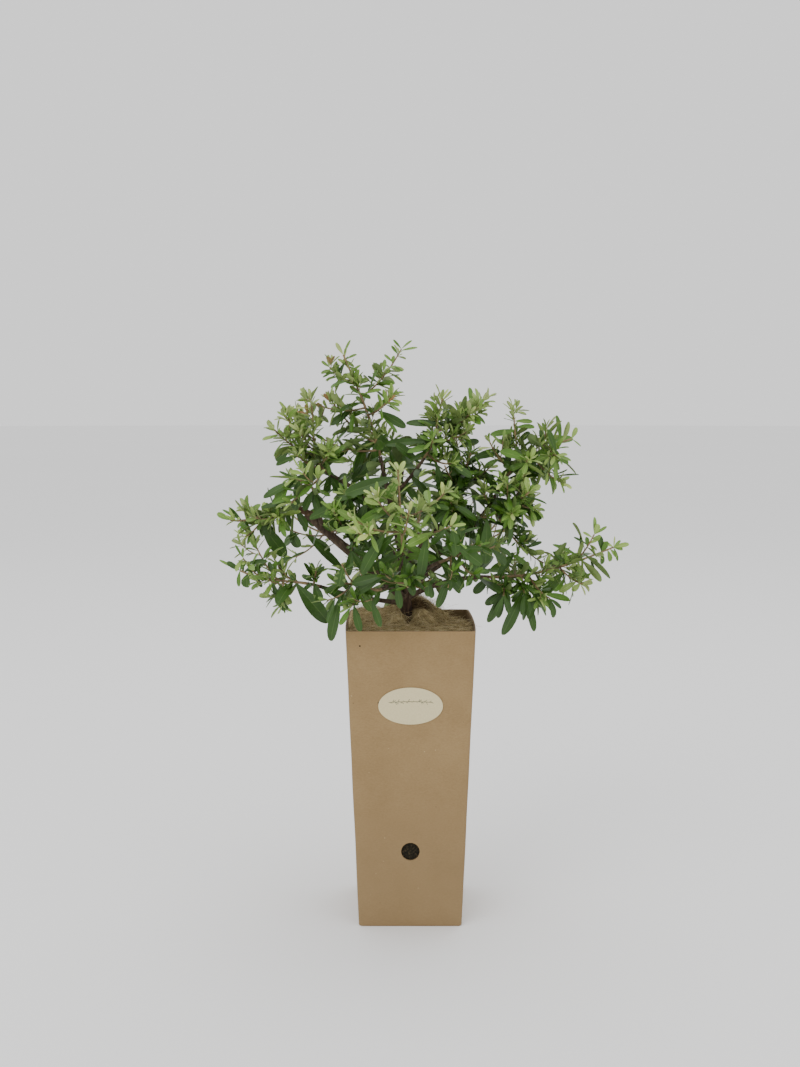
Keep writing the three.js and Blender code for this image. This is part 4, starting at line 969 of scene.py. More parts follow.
class Finish:
    """A material and the nodes that lead to its shader. Patterns lie on the object's coordinates."""

    def __init__(self, name, roughness, gloss=0.5):
        self.material = bpy.data.materials.new(name)
        self.material.use_nodes = True
        self.tree = self.material.node_tree
        self.shader = self.tree.nodes["Principled BSDF"]
        self.shader.inputs["Roughness"].default_value = roughness
        self.shader.inputs["Specular IOR Level"].default_value = gloss
        self.coordinates = self.tree.nodes.new("ShaderNodeTexCoord").outputs["Object"]

    def add(self, kind, inputs=(), **settings):
        node = self.tree.nodes.new("ShaderNode" + kind)
        for name, value in settings.items():
            setattr(node, name, value)
        for name, value in dict(inputs).items():
            if isinstance(value, bpy.types.NodeSocket):
                self.tree.links.new(value, node.inputs[name])
            else:
                node.inputs[name].default_value = value
        return node

    def noise(self, scale, detail=4, stretch=(1, 1, 1), roughness=0.55):
        place = self.add("Mapping", {"Vector": self.coordinates, "Scale": stretch}).outputs["Vector"]
        inputs = {"Vector": place, "Scale": scale, "Detail": detail, "Roughness": roughness}
        return self.add("TexNoise", inputs).outputs["Fac"]

    def spots(self, scale, size):
        """Round spots, one in each cell of a pattern: 1 in a spot and 0 outside."""
        cells = self.add("TexVoronoi", {"Vector": self.coordinates, "Scale": scale, "Randomness": 1.0})
        chosen = self.add("Math", {0: cells.outputs["Distance"], 1: size}, operation="LESS_THAN")
        return chosen.outputs["Value"]

    def near(self, centre, reach):
        """1 round a place on the plant, falling softly to 0 at its reach along each axis, in millimetres."""
        centre, reach = (tuple(value * MM for value in vector) for vector in (centre, reach))
        shift = self.add("VectorMath", {0: self.coordinates, 1: centre}, operation="SUBTRACT")
        shares = self.add("VectorMath", {0: shift.outputs["Vector"], 1: reach}, operation="DIVIDE")
        away = self.add("VectorMath", {0: shares.outputs["Vector"]}, operation="LENGTH").outputs["Value"]
        return self.add("MapRange", {"Value": away, "From Min": 1.0, "From Max": 0.5}).outputs["Result"]

    def half(self, value):
        return self.add("Math", {0: value, 1: 0.5}, operation="MULTIPLY").outputs["Value"]

    def ramp(self, value, *stops):
        node = self.add("ValToRGB", {"Fac": value})
        while len(node.color_ramp.elements) < len(stops):
            node.color_ramp.elements.new(0.5)
        for element, (position, colour) in zip(node.color_ramp.elements, stops):
            element.position = position
            element.color = colour
        return node.outputs["Color"]

    def blend(self, share, first, second, how="MIX"):
        node = self.add("Mix", data_type="RGBA", blend_type=how)
        for socket, value in zip((node.inputs[0], node.inputs[6], node.inputs[7]), (share, first, second)):
            if isinstance(value, bpy.types.NodeSocket):
                self.tree.links.new(value, socket)
            else:
                socket.default_value = value
        return node.outputs[2]

    def colour(self, value):
        self.tree.links.new(value, self.shader.inputs["Base Color"])
        return self

    def bump(self, height, strength, distance):
        node = self.add("Bump", {"Height": height, "Strength": strength, "Distance": distance * MM})
        self.tree.links.new(node.outputs["Normal"], self.shader.inputs["Normal"])
        return self


def leaf_finish(name, colour, roughness, gloss=0.5):
    """Leaf green that varies from leaf to leaf and faintly over each blade."""
    finish = Finish(name, roughness, gloss)
    dark = tuple(0.72 * value for value in colour[:3]) + (1,)
    light = tuple(1.25 * value for value in colour[:3]) + (1,)
    broad = finish.noise(38, detail=2)
    fine = finish.noise(420, detail=3)
    between = finish.ramp(broad, (0.35, dark), (0.5, colour), (0.68, light))
    finish.colour(finish.blend(0.25, between, finish.ramp(fine, (0.3, dark), (0.7, light))))
    return finish.bump(finish.noise(900, detail=3), 0.25, 0.2).material


def make_leaf_kinds():
    """Each kind of leaf: the finishes of its upper side, under side and midrib."""
    kinds = {
        "deep": ((50, 82, 21), (100, 122, 66), (70, 98, 38), 0.38),
        "old": ((77, 114, 35), (120, 141, 76), (97, 129, 52), 0.4),
        "middle": ((105, 138, 58), (143, 163, 96), (135, 162, 82), 0.43),
        "fresh": ((137, 164, 80), (158, 177, 110), (160, 184, 104), 0.48),
        "young": ((165, 183, 107), (176, 191, 123), (183, 200, 121), 0.5),
        "pale": ((187, 200, 114), (194, 207, 136), (202, 213, 134), 0.52),
        "bronze": ((141, 108, 66), (154, 134, 86), (163, 134, 90), 0.5),
    }
    made = {}
    for name, (upper, under, rib, roughness) in kinds.items():
        made[name] = [
            leaf_finish(f"leaf_{name}_upper", tone(*upper), roughness, 0.32),
            leaf_finish(f"leaf_{name}_under", tone(*under), roughness + 0.2, 0.3),
            leaf_finish(f"leaf_{name}_midrib", tone(*rib), roughness + 0.1, 0.4),
        ]
    return made


def bark_finish(name, dark, middle, light):
    finish = Finish(name, 0.9, 0.25)
    streaks = finish.noise(420, detail=6, stretch=(1, 1, 0.35))
    patches = finish.noise(70, detail=3)
    base = finish.ramp(streaks, (0.32, dark), (0.52, middle), (0.7, light))
    finish.colour(finish.blend(0.3, base, finish.ramp(patches, (0.4, dark), (0.65, light))))
    return finish.bump(streaks, 0.6, 0.4).material


def twig_finish(name, dark, light):
    finish = Finish(name, 0.62, 0.35)
    finish.colour(finish.ramp(finish.noise(160, detail=4), (0.35, dark), (0.66, light)))
    return finish.bump(finish.noise(900, detail=4, stretch=(1, 1, 0.4)), 0.4, 0.15).material


def board_finish(name="pot_board", painted_shade=1):
    """Grey-brown board: faint mottling, short pressed fibres, a few dark and light flecks, and darker towards
    the bottom. A share below 1 mixes in a dark tone as painted shade, for the pot's inside.
    """
    finish = Finish(name, 0.86, 0.28)
    base = tone(145, 120, 83)
    mottle = finish.ramp(
        finish.noise(34, detail=6), (0.3, tone(137, 113, 77)), (0.5, base), (0.72, tone(153, 128, 90)),
    )
    grain = finish.noise(520, detail=5, stretch=(1, 1, 2.2), roughness=0.7)
    pressed = finish.ramp(grain, (0.3, tone(132, 107, 72)), (0.7, tone(166, 140, 100)))
    grained = finish.blend(0.35, mottle, pressed)
    pale = finish.blend(finish.spots(90, 0.05), grained, tone(172, 148, 108))
    dark = finish.blend(finish.spots(75, 0.035), pale, tone(84, 66, 48))
    flecked = finish.blend(finish.spots(41, 0.03), dark, tone(60, 48, 36))
    low = finish.near((0, 0, -20), (200, 200, 170))
    footed = finish.blend(finish.half(low), flecked, tone(130, 109, 78))
    # Painted shade: the inside of the pot is mixed towards a dark tone; a share of 1 keeps the board's own
    # colour.
    finish.colour(finish.blend(painted_shade, tone(82, 70, 50), footed))
    return finish.bump(grain, 0.35, 0.25).material


# The rim's cut top: layered and darker than the board, partly the cut edge's own tone and partly painted
# shade for the gap between the mat and the rim.
def board_edge_finish():
    finish = Finish("pot_board_edge", 0.92, 0.2)
    layers = finish.noise(1400, detail=3, stretch=(1, 1, 5))
    finish.colour(finish.ramp(layers, (0.3, tone(96, 80, 62)), (0.7, tone(140, 120, 94))))
    return finish.bump(layers, 0.5, 0.3).material


def fibre_finish(name, dark, light):
    finish = Finish(name, 0.95, 0.15)
    finish.colour(finish.ramp(finish.noise(240, detail=5), (0.32, dark), (0.68, light)))
    return finish.bump(finish.noise(1200, detail=4), 0.5, 0.3).material


def mat_finish():
    """Felted fibre, with painted shade where the mound falls to the stem, in the hollow of the corner and,
    half as strong, on the mound's flank.
    """
    finish = Finish("mat_ground", 0.95, 0.15)
    felt = finish.noise(240, detail=5)
    unshaded_felt = finish.ramp(felt, (0.32, tone(134, 118, 84)), (0.68, tone(192, 174, 132)))
    # Painted shade: the felt in dark tones, for the hollow by the stem and the one in the corner.
    painted_shade = finish.ramp(felt, (0.32, tone(52, 40, 28)), (0.68, tone(98, 78, 52)))
    by_stem = finish.near(*PAINTED_SHADE_BY_STEM)
    in_corner = finish.near(*PAINTED_SHADE_IN_CORNER)
    on_mound = finish.half(finish.near(*MOUND_FLANK))
    # Painted shade on the mound's flank, at half strength.
    shade = finish.ramp(felt, (0.32, tone(108, 94, 63)), (0.68, tone(164, 146, 105)))
    shaded = finish.blend(on_mound, unshaded_felt, shade)
    finish.colour(finish.blend(in_corner, finish.blend(by_stem, shaded, painted_shade), painted_shade))
    return finish.bump(finish.noise(1200, detail=4), 0.5, 0.3).material


def soil_finish():
    finish = Finish("compost", 0.95, 0.2)
    crumbs = finish.noise(600, detail=6)
    tones = (0.35, tone(20, 19, 14)), (0.55, tone(38, 34, 24)), (0.75, tone(84, 70, 48))
    finish.colour(finish.ramp(crumbs, *tones))
    return finish.bump(crumbs, 0.9, 0.8).material


def card_finish():
    finish = Finish("label_card", 0.5, 0.4)
    fibres = finish.noise(700, detail=4)
    finish.colour(finish.ramp(fibres, (0.3, tone(208, 195, 152)), (0.7, tone(216, 203, 161))))
    return finish.bump(fibres, 0.15, 0.1).material


# ---- Pot, label, mat and soil ----
FOLD = 38


def plain_mesh(name, bm):
    mesh = bpy.data.meshes.new(name)
    bm.to_mesh(mesh)
    bm.free()
    return mesh


def smooth_mesh(name, bm):
    mesh = plain_mesh(name, bm)
    smoothed(mesh, FOLD)
    return mesh


def new_vertices(made):
    """The vertices among what a mesh operation made."""
    return [part for part in made["geom"] if isinstance(part, bmesh.types.BMVert)]


def rounded(bm, edges, radius, segments):
    bmesh.ops.bevel(
        bm, geom=edges, offset=radius, segments=segments, profile=0.5, affect="EDGES", material=-1,
    )


def make_pot(board, edge, inside):
    """The board pot: four tapering faces between folded corners, open on top, with two drilled holes."""
    bm = bmesh.new()
    half = POT["foot"] / 2

    def upright():
        return [e for e in bm.edges if abs(e.verts[0].co.z - e.verts[1].co.z) > RIM / 2]

    def sharp(at_level):
        """The sharp edges with both ends at a level."""
        level = [e for e in bm.edges if all(at_level(v.co.z) for v in e.verts)]
        return [e for e in level if len(e.link_faces) == 2 and abs(e.calc_face_angle(0)) > 1]

    bmesh.ops.create_cube(bm, size=1)
    bmesh.ops.scale(bm, verts=bm.verts, vec=(2 * half, 2 * half, RIM))
    bmesh.ops.translate(bm, verts=bm.verts, vec=(0, 0, RIM / 2))
    rounded(bm, upright(), POT["corner"], 6)
    top = [f for f in bm.faces if f.normal.z > 0.9]
    bmesh.ops.inset_region(bm, faces=top, thickness=POT["wall"], use_even_offset=True)
    for face in bm.faces:
        if face.normal.z > 0.9 and face not in top:
            face.material_index = 1
    floor = new_vertices(bmesh.ops.extrude_face_region(bm, geom=top))
    bmesh.ops.delete(bm, geom=top, context="FACES_ONLY")
    bmesh.ops.translate(bm, verts=floor, vec=(0, 0, POT["floor"] - RIM))
    rounded(bm, sharp(lambda z: z > RIM - 0.01), POT["rim_edge"], 2)
    bmesh.ops.subdivide_edges(bm, edges=upright(), cuts=28)
    across = [e for e in bm.edges if e.calc_length() > half]
    bmesh.ops.subdivide_edges(bm, edges=across, cuts=11)
    rounded(bm, sharp(lambda z: z < 0.01), POT["foot_edge"], 3)
    for vertex in bm.verts:
        x, y, z = vertex.co
        bow = POT["bow"] * (z / RIM) * (1 - (y / half) ** 2)
        scale = pot_half(z) / half
        wave = POT["wave"] * noise.noise(Vector((x, y, z)) / POT["wave_size"])
        vertex.co.x = x * scale + math.copysign(1, x) * max(0, bow) * abs(x) / half
        vertex.co.y = y * scale
        vertex.co += Vector((x, y, 0)).normalized() * wave * math.sin(math.pi * min(1, z / RIM))
    # The faces inside the pot take the board with painted shade.
    for face in bm.faces:
        middle = face.calc_center_median()
        if middle.z > POT["floor"] - 0.1 and face.normal.dot(Vector((middle.x, middle.y, 0))) < -1:
            face.material_index = 2
    bmesh.ops.scale(bm, verts=bm.verts, vec=(MM, MM, MM))
    pot = finished("board_pot", smooth_mesh("board_pot", bm), [board, edge, inside])
    drilled(pot)
    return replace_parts(pot, "pot")


def drilled(pot):
    """Cuts the round holes through the pot's front and back."""
    bm = bmesh.new()
    radius = HOLE["radius"]
    bmesh.ops.create_cone(
        bm, cap_ends=True, segments=64, radius1=radius, radius2=radius, depth=2 * POT["top"],
    )
    bmesh.ops.rotate(bm, verts=bm.verts, matrix=Matrix.Rotation(math.pi / 2, 3, "X"))
    bmesh.ops.translate(bm, verts=bm.verts, vec=(0, 0, HOLE["height"]))
    bmesh.ops.scale(bm, verts=bm.verts, vec=(MM, MM, MM))
    drill = in_scene("drill", plain_mesh("drill", bm))
    cut = pot.modifiers.new("holes", "BOOLEAN")
    cut.object = drill
    cut.operation = "DIFFERENCE"
    cut.solver = "EXACT"
    made = bpy.data.meshes.new_from_object(pot.evaluated_get(bpy.context.evaluated_depsgraph_get()))
    pot.modifiers.clear()
    pot.data = made
    pot.data.set_sharp_from_angle(angle=math.radians(FOLD))
    bpy.data.objects.remove(drill)


def label_matrix(standing):
    """The frame of the front face at the label's middle, `standing` millimetres off the face."""
    lean = math.atan2((POT["top"] - POT["foot"]) / 2, RIM)
    middle = Vector((0, -pot_half(LABEL["centre"]), LABEL["centre"])) * MM
    turn = Matrix.Rotation(math.pi / 2 + lean, 4, "X")
    return Matrix.Translation(middle) @ turn @ Matrix.Translation((0, 0, standing * MM)) @ Matrix.Scale(MM, 4)


def make_label(card):
    """The oval card, with rounded edges."""
    bm = bmesh.new()
    bmesh.ops.create_circle(bm, cap_ends=True, segments=128, radius=1)
    bmesh.ops.scale(bm, verts=bm.verts, vec=(LABEL["width"] / 2, LABEL["height"] / 2, 1))
    lifted = new_vertices(bmesh.ops.extrude_face_region(bm, geom=bm.faces[:]))
    bmesh.ops.translate(bm, verts=lifted, vec=(0, 0, LABEL["thickness"]))
    bmesh.ops.recalc_face_normals(bm, faces=bm.faces)
    edges = [e for e in bm.edges if min(v.co.z for v in e.verts) > 0.01]
    rounded(bm, edges, LABEL["edge"], 3)
    bmesh.ops.transform(bm, matrix=label_matrix(GAP), verts=bm.verts)
    label = finished("label_card", smooth_mesh("label_card", bm), [card])
    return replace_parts(label, "label")


def make_sprig(ink):
    """A little sprig printed across the label: a stem with leaves to both sides."""
    turn = np.array(label_matrix(GAP + LABEL["thickness"]))
    across, upward, out = (turn[:3, k] / MM for k in range(3))
    middle = turn[:3, 3] / MM
    start, end = (
        middle + upward * SPRIG["height"] + across * reach for reach in (-SPRIG["half"], SPRIG["half"])
    )
    stem = Line(start, mix(start, end, 0.5) + upward * SPRIG["bend"], end)
    rings = 24
    tube = tube_shape(6, rings)
    places = wrapped(tube, rings, stem, lambda share, angle: np.full(len(share), SPRIG["stem"]))
    piece = joined("printed_stem", tube, places[None], [ink])
    leaves = []
    for k in range(SPRIG["leaves"]):
        share = 0.03 + 0.94 * k / (SPRIG["leaves"] - 1)
        side = 1 if k % 2 else -1
        leaves.append({
            "root": stem.at(share) - SPRIG["sunk"] * out,
            "along": unit(stem.heading(share) + side * SPRIG["spread"] * upward),
            "facing": out, "length": SPRIG["length"], "age": 1, "breadth": SPRIG["breadth"],
        })
    shape = leaf_shape(6, 0.07)
    flat = laid(shape, leaves, np.random.default_rng(2))
    rise = (flat - middle) @ out
    flat += (np.clip(rise, -SPRIG["sunk"], SPRIG["proud"]) - rise)[..., None] * out
    piece = joined("printed_leaves", shape, flat, [ink, ink, ink])
    return piece


def make_mat(ground):
    """The mat of fibre: a quilted surface with tufts and hollows, closed below."""
    bm = bmesh.new()
    bmesh.ops.create_grid(bm, x_segments=MAT["cells"], y_segments=MAT["cells"], size=1)
    half = POT["top"] / 2 - POT["wall"] - GAP
    rim = [e for e in bm.edges if e.is_boundary]
    lower = set(new_vertices(bmesh.ops.extrude_edge_only(bm, edges=rim)))
    for vertex in bm.verts:
        x, y = vertex.co.x * half, vertex.co.y * half
        if vertex in lower:
            vertex.co = (x, y, COMPOST_TOP + GAP)
        else:
            vertex.co = (x, y, mat_surface(x, y))
    bmesh.ops.holes_fill(bm, edges=[e for e in bm.edges if e.is_boundary], sides=0)
    for vertex in bm.verts:
        share = (pot_half(vertex.co.z) - POT["wall"] - GAP) / half
        bow = POT["bow"] * (1 - (vertex.co.y / half) ** 2) * vertex.co.x / half
        vertex.co.x = vertex.co.x * share + bow
        vertex.co.y *= share
    bmesh.ops.recalc_face_normals(bm, faces=bm.faces)
    bmesh.ops.scale(bm, verts=bm.verts, vec=(MM, MM, MM))
    mat = finished("fibre_blanket", smooth_mesh("fibre_blanket", bm), [ground])
    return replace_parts(mat, "fibre_mat")


def past_ridge(x, y):
    """How far a place lies behind the ridge that falls from the mound to the pot's right side."""
    return y - RIDGE["y"] - RIDGE["slope"] * (x - RIDGE["x"])


def mat_surface(x, y):
    """The mat's height with its lumps, swells and dents, and the ridge and what it drops to."""
    past = past_ridge(x, y)
    right = 1 / (1 + math.exp((RIDGE["from"] - x) / RIDGE["soft"]))
    ridge = RIDGE["height"] * math.exp(-((past / RIDGE["half"]) ** 2))
    dropped = RIDGE["drop"] / (1 + math.exp((RIDGE["behind"] - past) / 2))
    height = float(mat_top(x, y)) + right * (ridge - dropped)
    height += MAT["lump"] * noise.fractal(Vector((x, y, 0)) / MAT["lump_size"], 1.0, 2.0, 3)
    height += MAT["tuft"] * noise.fractal(Vector((x, y, 9)) / MAT["tuft_size"], 1.0, 2.0, 2)
    for rise, middle_x, middle_y, wide, deep in MAT_FORMS:
        height += rise * math.exp(-(((x - middle_x) / wide) ** 2) - ((y - middle_y) / deep) ** 2)
    return height


def fibre_ends(rng, half):
    """Where one hair that lies on the mat starts and ends."""
    x, y = rng.uniform(-half, half, 2)
    heading = rng.uniform(0, 2 * math.pi)
    length = rng.uniform(*HAIR["lying"])
    end_x = np.clip(x + length * math.cos(heading), -half, half)
    end_y = np.clip(y + length * math.sin(heading), -half, half)
    on_mound = math.exp(
        -((x - LOFT["x"]) / LOFT["along_x"]) ** 2 - ((y - LOFT["y"]) / LOFT["along_y"]) ** 2
    )
    start = np.array([x, y, mat_surface(x, y) - HAIR["sunk"]])
    lift = rng.uniform(*HAIR["lift"]) + LOFT["height"] * on_mound * rng.uniform()
    end = np.array([end_x, end_y, mat_surface(end_x, end_y) + lift])
    middle = mix(start, end, 0.5)
    middle[2] = mat_surface(middle[0], middle[1]) + rng.uniform(*HAIR["arch"])
    middle[:2] += rng.uniform(-HAIR["sway"], HAIR["sway"], 2)
    return start, 2 * middle - mix(start, end, 0.5), end


def in_shaded_hollow(points):
    """Whether one of a hair's points lies over the hollow by the stem or the one behind the ridge, where the
    mat has painted shade.
    """
    for x, y, _ in points:
        aside = (x - BARE_MAT["x"]) / BARE_MAT["along_x"]
        ahead = (y - BARE_MAT["y"]) / BARE_MAT["along_y"]
        if math.hypot(aside, ahead) < 1 or (x > RIDGE["from"] and past_ridge(x, y) > RIDGE["behind"]):
            return True
    return False


def standing_fibre(rng, ridge):
    """One hair that stands up from a ridge of the mat, curling over."""
    x, y = ridge.at(rng.uniform())[:2] + rng.normal(0, 1.6, 2)
    length = rng.uniform(*HAIR["standing"])
    lean = rng.normal(0, 0.9, 2)
    start = np.array([x, y, mat_surface(x, y) - HAIR["sunk"]])
    middle = start + [0.3 * length * lean[0], 0.3 * length * lean[1], 0.6 * length]
    end = start + [length * lean[0], length * lean[1], length * rng.uniform(0.4, 0.9)]
    return start, middle, end


def make_fibres(finishes):
    """Thousands of loose hairs that lie on the mat, and a fringe of them along its ridges."""
    rings = 4
    shape = tube_shape(3, rings)
    rng = np.random.default_rng(5)
    half = POT["top"] / 2 - POT["wall"] - 1
    ridges = [Line(*points) for points in FRINGES]
    for (name, (lying, standing)), finish in zip(FIBRES.items(), finishes):
        ends = [fibre_ends(rng, half) for _ in range(lying)]
        # Pale and tan hairs are kept off the hollows that have painted shade.
        if name != "dark":
            ends = [points for points in ends if not in_shaded_hollow(points)]
        ends += [standing_fibre(rng, ridges[k % 3 // 2]) for k in range(standing)]
        places = []
        for points in ends:
            radius = rng.uniform(*HAIR["radius"])
            places.append(wrapped(shape, rings, Line(*points), lambda z, angle: np.full(len(z), radius)))
        piece = joined(f"fibres_{name}", shape, np.array(places), [finish], crease=130)


def make_crumbs(soil):
    """Crumbs of compost that show in the two holes."""
    bm = bmesh.new()
    bmesh.ops.create_icosphere(bm, subdivisions=1, radius=1)
    shape = Shape(bm)
    rng = np.random.default_rng(17)
    places = []
    outermost = pot_half(HOLE["height"]) - POT["wall"] - CRUMBS["behind"]
    for side in (-1, 1):
        for _ in range(CRUMBS["count"]):
            angle = rng.uniform(0, 2 * math.pi)
            reach = (HOLE["radius"] + CRUMBS["beyond"]) * math.sqrt(rng.uniform())
            size = rng.uniform(*CRUMBS["size"])
            y = side * (outermost - rng.uniform(0, CRUMBS["depth"]))
            centre = np.array([reach * math.cos(angle), y, HOLE["height"] + reach * math.sin(angle)])
            stretch = rng.uniform(0.6, 1.3, 3) * size
            places.append(centre + shape.points * stretch * rng.uniform(0.8, 1.2, (len(shape.points), 1)))
    crumbs = joined("soil_crumbs", shape, np.array(places), [soil], crease=20)
    return crumbs


# ---- Bark and twigs ----
def rough_radius(radius_at, length, seed, depth, collar):
    """A limb's radius with the relief of its bark and the collar where it leaves its parent."""
    def radius(share, angle):
        values = radius_at(share) * (1 + collar * np.exp(-share * length / 4))
        reach = share * length
        for k in range(len(values)):
            spot = Vector((math.cos(angle[k]) * 2.2, math.sin(angle[k]) * 2.2, reach[k] / 3.5 + seed))
            ridges = noise.fractal(spot, 0.9, 2.1, 4)
            knuckle = max(0, noise.noise(Vector((seed, reach[k] / 5, 3)))) * 0.5
            values[k] += depth * (ridges + knuckle)
        return values
    return radius


def make_bark(limbs, finishes):
    """The stem and its boughs, with the relief of their bark."""
    rings = 56
    shape = tube_shape(20, rings)
    places = []
    for k, (name, (line, radius_at)) in enumerate(limbs.items()):
        relief = RELIEF["trunk" if name == "trunk" else "bough"]
        radius = rough_radius(radius_at, line.length, 11.3 * k, *relief)
        places.append(wrapped(shape, rings, line, radius))
    bark = joined("bark", shape, np.array(places), finishes, crease=70)
    faces = len(shape.sizes)
    finish_numbers = np.zeros(len(bark.data.polygons), dtype=np.int32)
    finish_numbers[faces:] = 1
    bark.data.polygons.foreach_set("material_index", finish_numbers)
    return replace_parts(bark, "trunk", *(f"bough_{name}" for name in BOUGHS))


def make_twigs(shoots, woody, green):
    """The stems and shoots of all masses, and their fine twigs."""
    for name, orders, finish, sides, rings in (
        ("twigs", (0, 1, 2), woody, 7, 10),
        ("fine_twigs", (3,), green, 5, 4),
    ):
        shape = tube_shape(sides, rings)
        places = []
        for shoot in shoots:
            if shoot["order"] in orders:
                line, radius = shoot["line"], shoot["radius"]
                waves = 2 * math.pi * (line.length / 7)
                places.append(wrapped(
                    shape, rings, line,
                    lambda share, angle: mix(*radius, share) * (1 + 0.1 * np.cos(waves * share)),
                ))
        piece = joined(name, shape, np.array(places), [finish], crease=100)
        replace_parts(piece, *(f"foliage_{mass}" for mass in MASSES))


def make_stub(bark, cut):
    """The sawn-off stub of a twig beside the left bough's tip."""
    rings = 8
    shape = tube_shape(14, rings)
    line = Line(place(*STUB["foot"]), place(*STUB["bend"]), place(*STUB["tip"]))
    radius = rough_radius(lambda share: mix(*STUB["radius"], share), line.length, 7, *RELIEF["stub"])
    places = wrapped(shape, rings, line, radius)
    stub = joined("pruned_stub", shape, places[None], [bark, cut], crease=40)
    ends = [face for face in stub.data.polygons if face.normal.dot(Vector(line.heading(1))) > 0.8]
    for face in ends:
        face.material_index = 1
    return stub


# ---- Leaves ----
CROWN_MIDDLE = place(0, 0, 60)
# How much older, and so darker, a leaf is made inside the crown: older leaves there, and painted shade. The
# crown's reach, the depth from which that is in full, how much it is, and how far chance changes it.
DEPTH_SHADE = {"reach": 130, "full": 60, "older": 0.35, "chance": 0.09}
# How much darker a mass is painted than the ages of its leaves make it, mostly painted shade on the low
# masses under the crown; where below 0, lighter.
SHADE = {
    "front_low": 0.2, "front_left": 0.2, "front_right": 0.25, "inner_right": 0.12, "left_high": -0.05,
    "left_low": 0.08, "right_low": -0.1, "centre_high": -0.05, "back_high": -0.1, "top": 0.05,
}


def kind_of(leaf, rng):
    """Which kind of leaf this is: by its age; by its depth in the crown and its mass, which make it darker,
    partly as painted shade; and by chance.
    """
    depth = DEPTH_SHADE["reach"] - np.linalg.norm(leaf["root"] - CROWN_MIDDLE)
    older = DEPTH_SHADE["older"] * min(1, max(0, depth / DEPTH_SHADE["full"]))
    age = leaf["age"] + older + rng.normal(0, DEPTH_SHADE["chance"])
    age += SHADE.get(leaf["mass"], 0)
    if leaf["mass"] == "front":
        kinds = ((0.06, "pale"), (0.15, "young"), (0.3, "fresh"), (0.62, "middle"), (0.9, "old"))
        return next((name for oldest, name in kinds if age < oldest), "deep")
    if leaf["mass"] in ("top", "upper_left") and leaf["root"][2] > RIM + 165 and age < 0.12:
        return "bronze" if rng.uniform() < 0.22 else "young"
    if age < 0.1:
        return "young" if rng.uniform() < 0.45 else "fresh"
    if age < 0.24:
        return "fresh" if rng.uniform() < 0.7 else "middle"
    if age < 0.48:
        return "middle"
    return "deep" if age > 0.8 or rng.uniform() < 0.25 else "old"


def make_leaves(leaves, kinds):
    """One piece for the large leaves of each kind, and one for its small ones."""
    rng = np.random.default_rng(3)
    dealt = {name: [] for name in kinds}
    for leaf in leaves:
        dealt[kind_of(leaf, rng)].append(leaf)
    large = leaf_shape(10, 0.05)
    small = leaf_shape(6, 0.07)
    for name, rows in dealt.items():
        for size, shape, chosen in (
            ("large", large, [leaf for leaf in rows if leaf["length"] > 16]),
            ("small", small, [leaf for leaf in rows if leaf["length"] <= 16]),
        ):
            if chosen:
                places = laid(shape, chosen, rng)
                piece = joined(f"leaves_{name}_{size}", shape, places, kinds[name], crease=55)


# ---- Studio ----
# The lights: the place of each in metres, its size and its power.
LIGHTS = {
    "key": ((-1.1, -1.6, 1.9), 1.4, 16),
    "fill": ((1.7, -1.3, 1.2), 1.6, 4),
    "top": ((0.2, 0.6, 2.3), 1.5, 12),
}
# The camera: its place in metres, how far it looks down in degrees, the width of its sensor in
# millimetres, and its focal length and the height of its frame, in one unit.
CAMERA = {"place": (-0.0082, -0.93, 0.409), "down": 6.07, "sensor": 36, "focal": 1165, "tall": 1067}


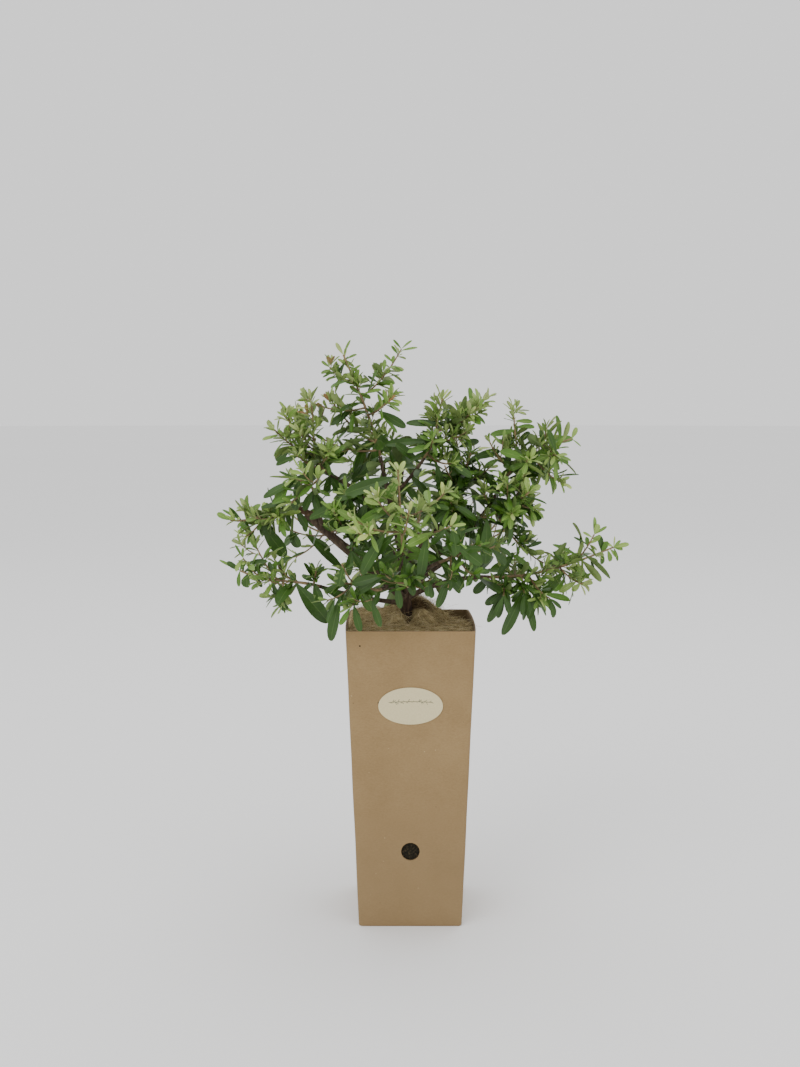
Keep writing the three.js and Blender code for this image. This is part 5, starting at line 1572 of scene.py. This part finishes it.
def make_studio():
    """A pale floor, a white world, soft lights and the camera."""
    bm = bmesh.new()
    bmesh.ops.create_circle(bm, cap_ends=True, segments=96, radius=30)
    floor = in_scene("floor", plain_mesh("floor", bm))
    paint = Finish("floor_paint", 0.9, 0.1)
    paint.colour(paint.ramp(paint.noise(0.6), (0.3, (0.9, 0.9, 0.9, 1)), (0.7, (0.915, 0.915, 0.915, 1))))
    floor.data.materials.append(paint.material)

    world = bpy.data.worlds.new("studio")
    world.use_nodes = True
    world.node_tree.nodes["Background"].inputs["Color"].default_value = (1, 1, 1, 1)
    world.node_tree.nodes["Background"].inputs["Strength"].default_value = 1.15
    bpy.context.scene.world = world

    for name, (spot, size, power) in LIGHTS.items():
        light = bpy.data.lights.new(name, "AREA")
        light.size = size
        light.energy = power
        lamp = in_scene(name, light)
        lamp.location = spot
        lamp.rotation_euler = (Vector((0, 0, 0.25)) - Vector(spot)).to_track_quat("-Z", "Y").to_euler()

    camera = in_scene("camera", bpy.data.cameras.new("camera"))
    camera.data.lens = CAMERA["focal"] / CAMERA["tall"] * CAMERA["sensor"]
    camera.data.sensor_width = CAMERA["sensor"]
    camera.location = CAMERA["place"]
    camera.rotation_euler = (math.radians(90 - CAMERA["down"]), 0, 0)
    bpy.context.scene.camera = camera


# ---- The whole plant ----
make_studio()
board = board_finish()
# The pot's inside is the board with painted shade.
make_pot(board, board_edge_finish(), board_finish("pot_board_inside_painted_shade", 0.45))
make_label(card_finish())
make_sprig(twig_finish("label_ink", tone(84, 88, 70), tone(104, 108, 88)))
soil = soil_finish()
make_crumbs(soil)
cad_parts["compost"].data.materials.clear()
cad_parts["compost"].data.materials.append(soil)
make_mat(mat_finish())
make_fibres([
    fibre_finish("fibre_pale", tone(204, 188, 144), tone(230, 214, 174)),
    fibre_finish("fibre_tan", tone(172, 152, 108), tone(208, 188, 144)),
    fibre_finish("fibre_dark", tone(112, 96, 66), tone(150, 130, 94)),
])

limbs = plan_limbs()
make_bark(limbs, [
    bark_finish("bark_stem", tone(34, 24, 19), tone(58, 43, 33), tone(92, 72, 56)),
    bark_finish("bark_bough", tone(47, 38, 30), tone(77, 64, 51), tone(114, 98, 81)),
])
make_stub(
    bark_finish("bark_stub", tone(60, 46, 36), tone(98, 76, 58), tone(134, 108, 84)),
    twig_finish("cut_wood", tone(172, 136, 108), tone(206, 172, 142)),
)
shoots, leaves = grow_crown(limbs)
make_twigs(
    shoots,
    twig_finish("twig_brown", tone(94, 77, 54), tone(146, 125, 88)),
    twig_finish("twig_green", tone(122, 106, 68), tone(148, 144, 88)),
)
make_leaves(leaves, make_leaf_kinds())
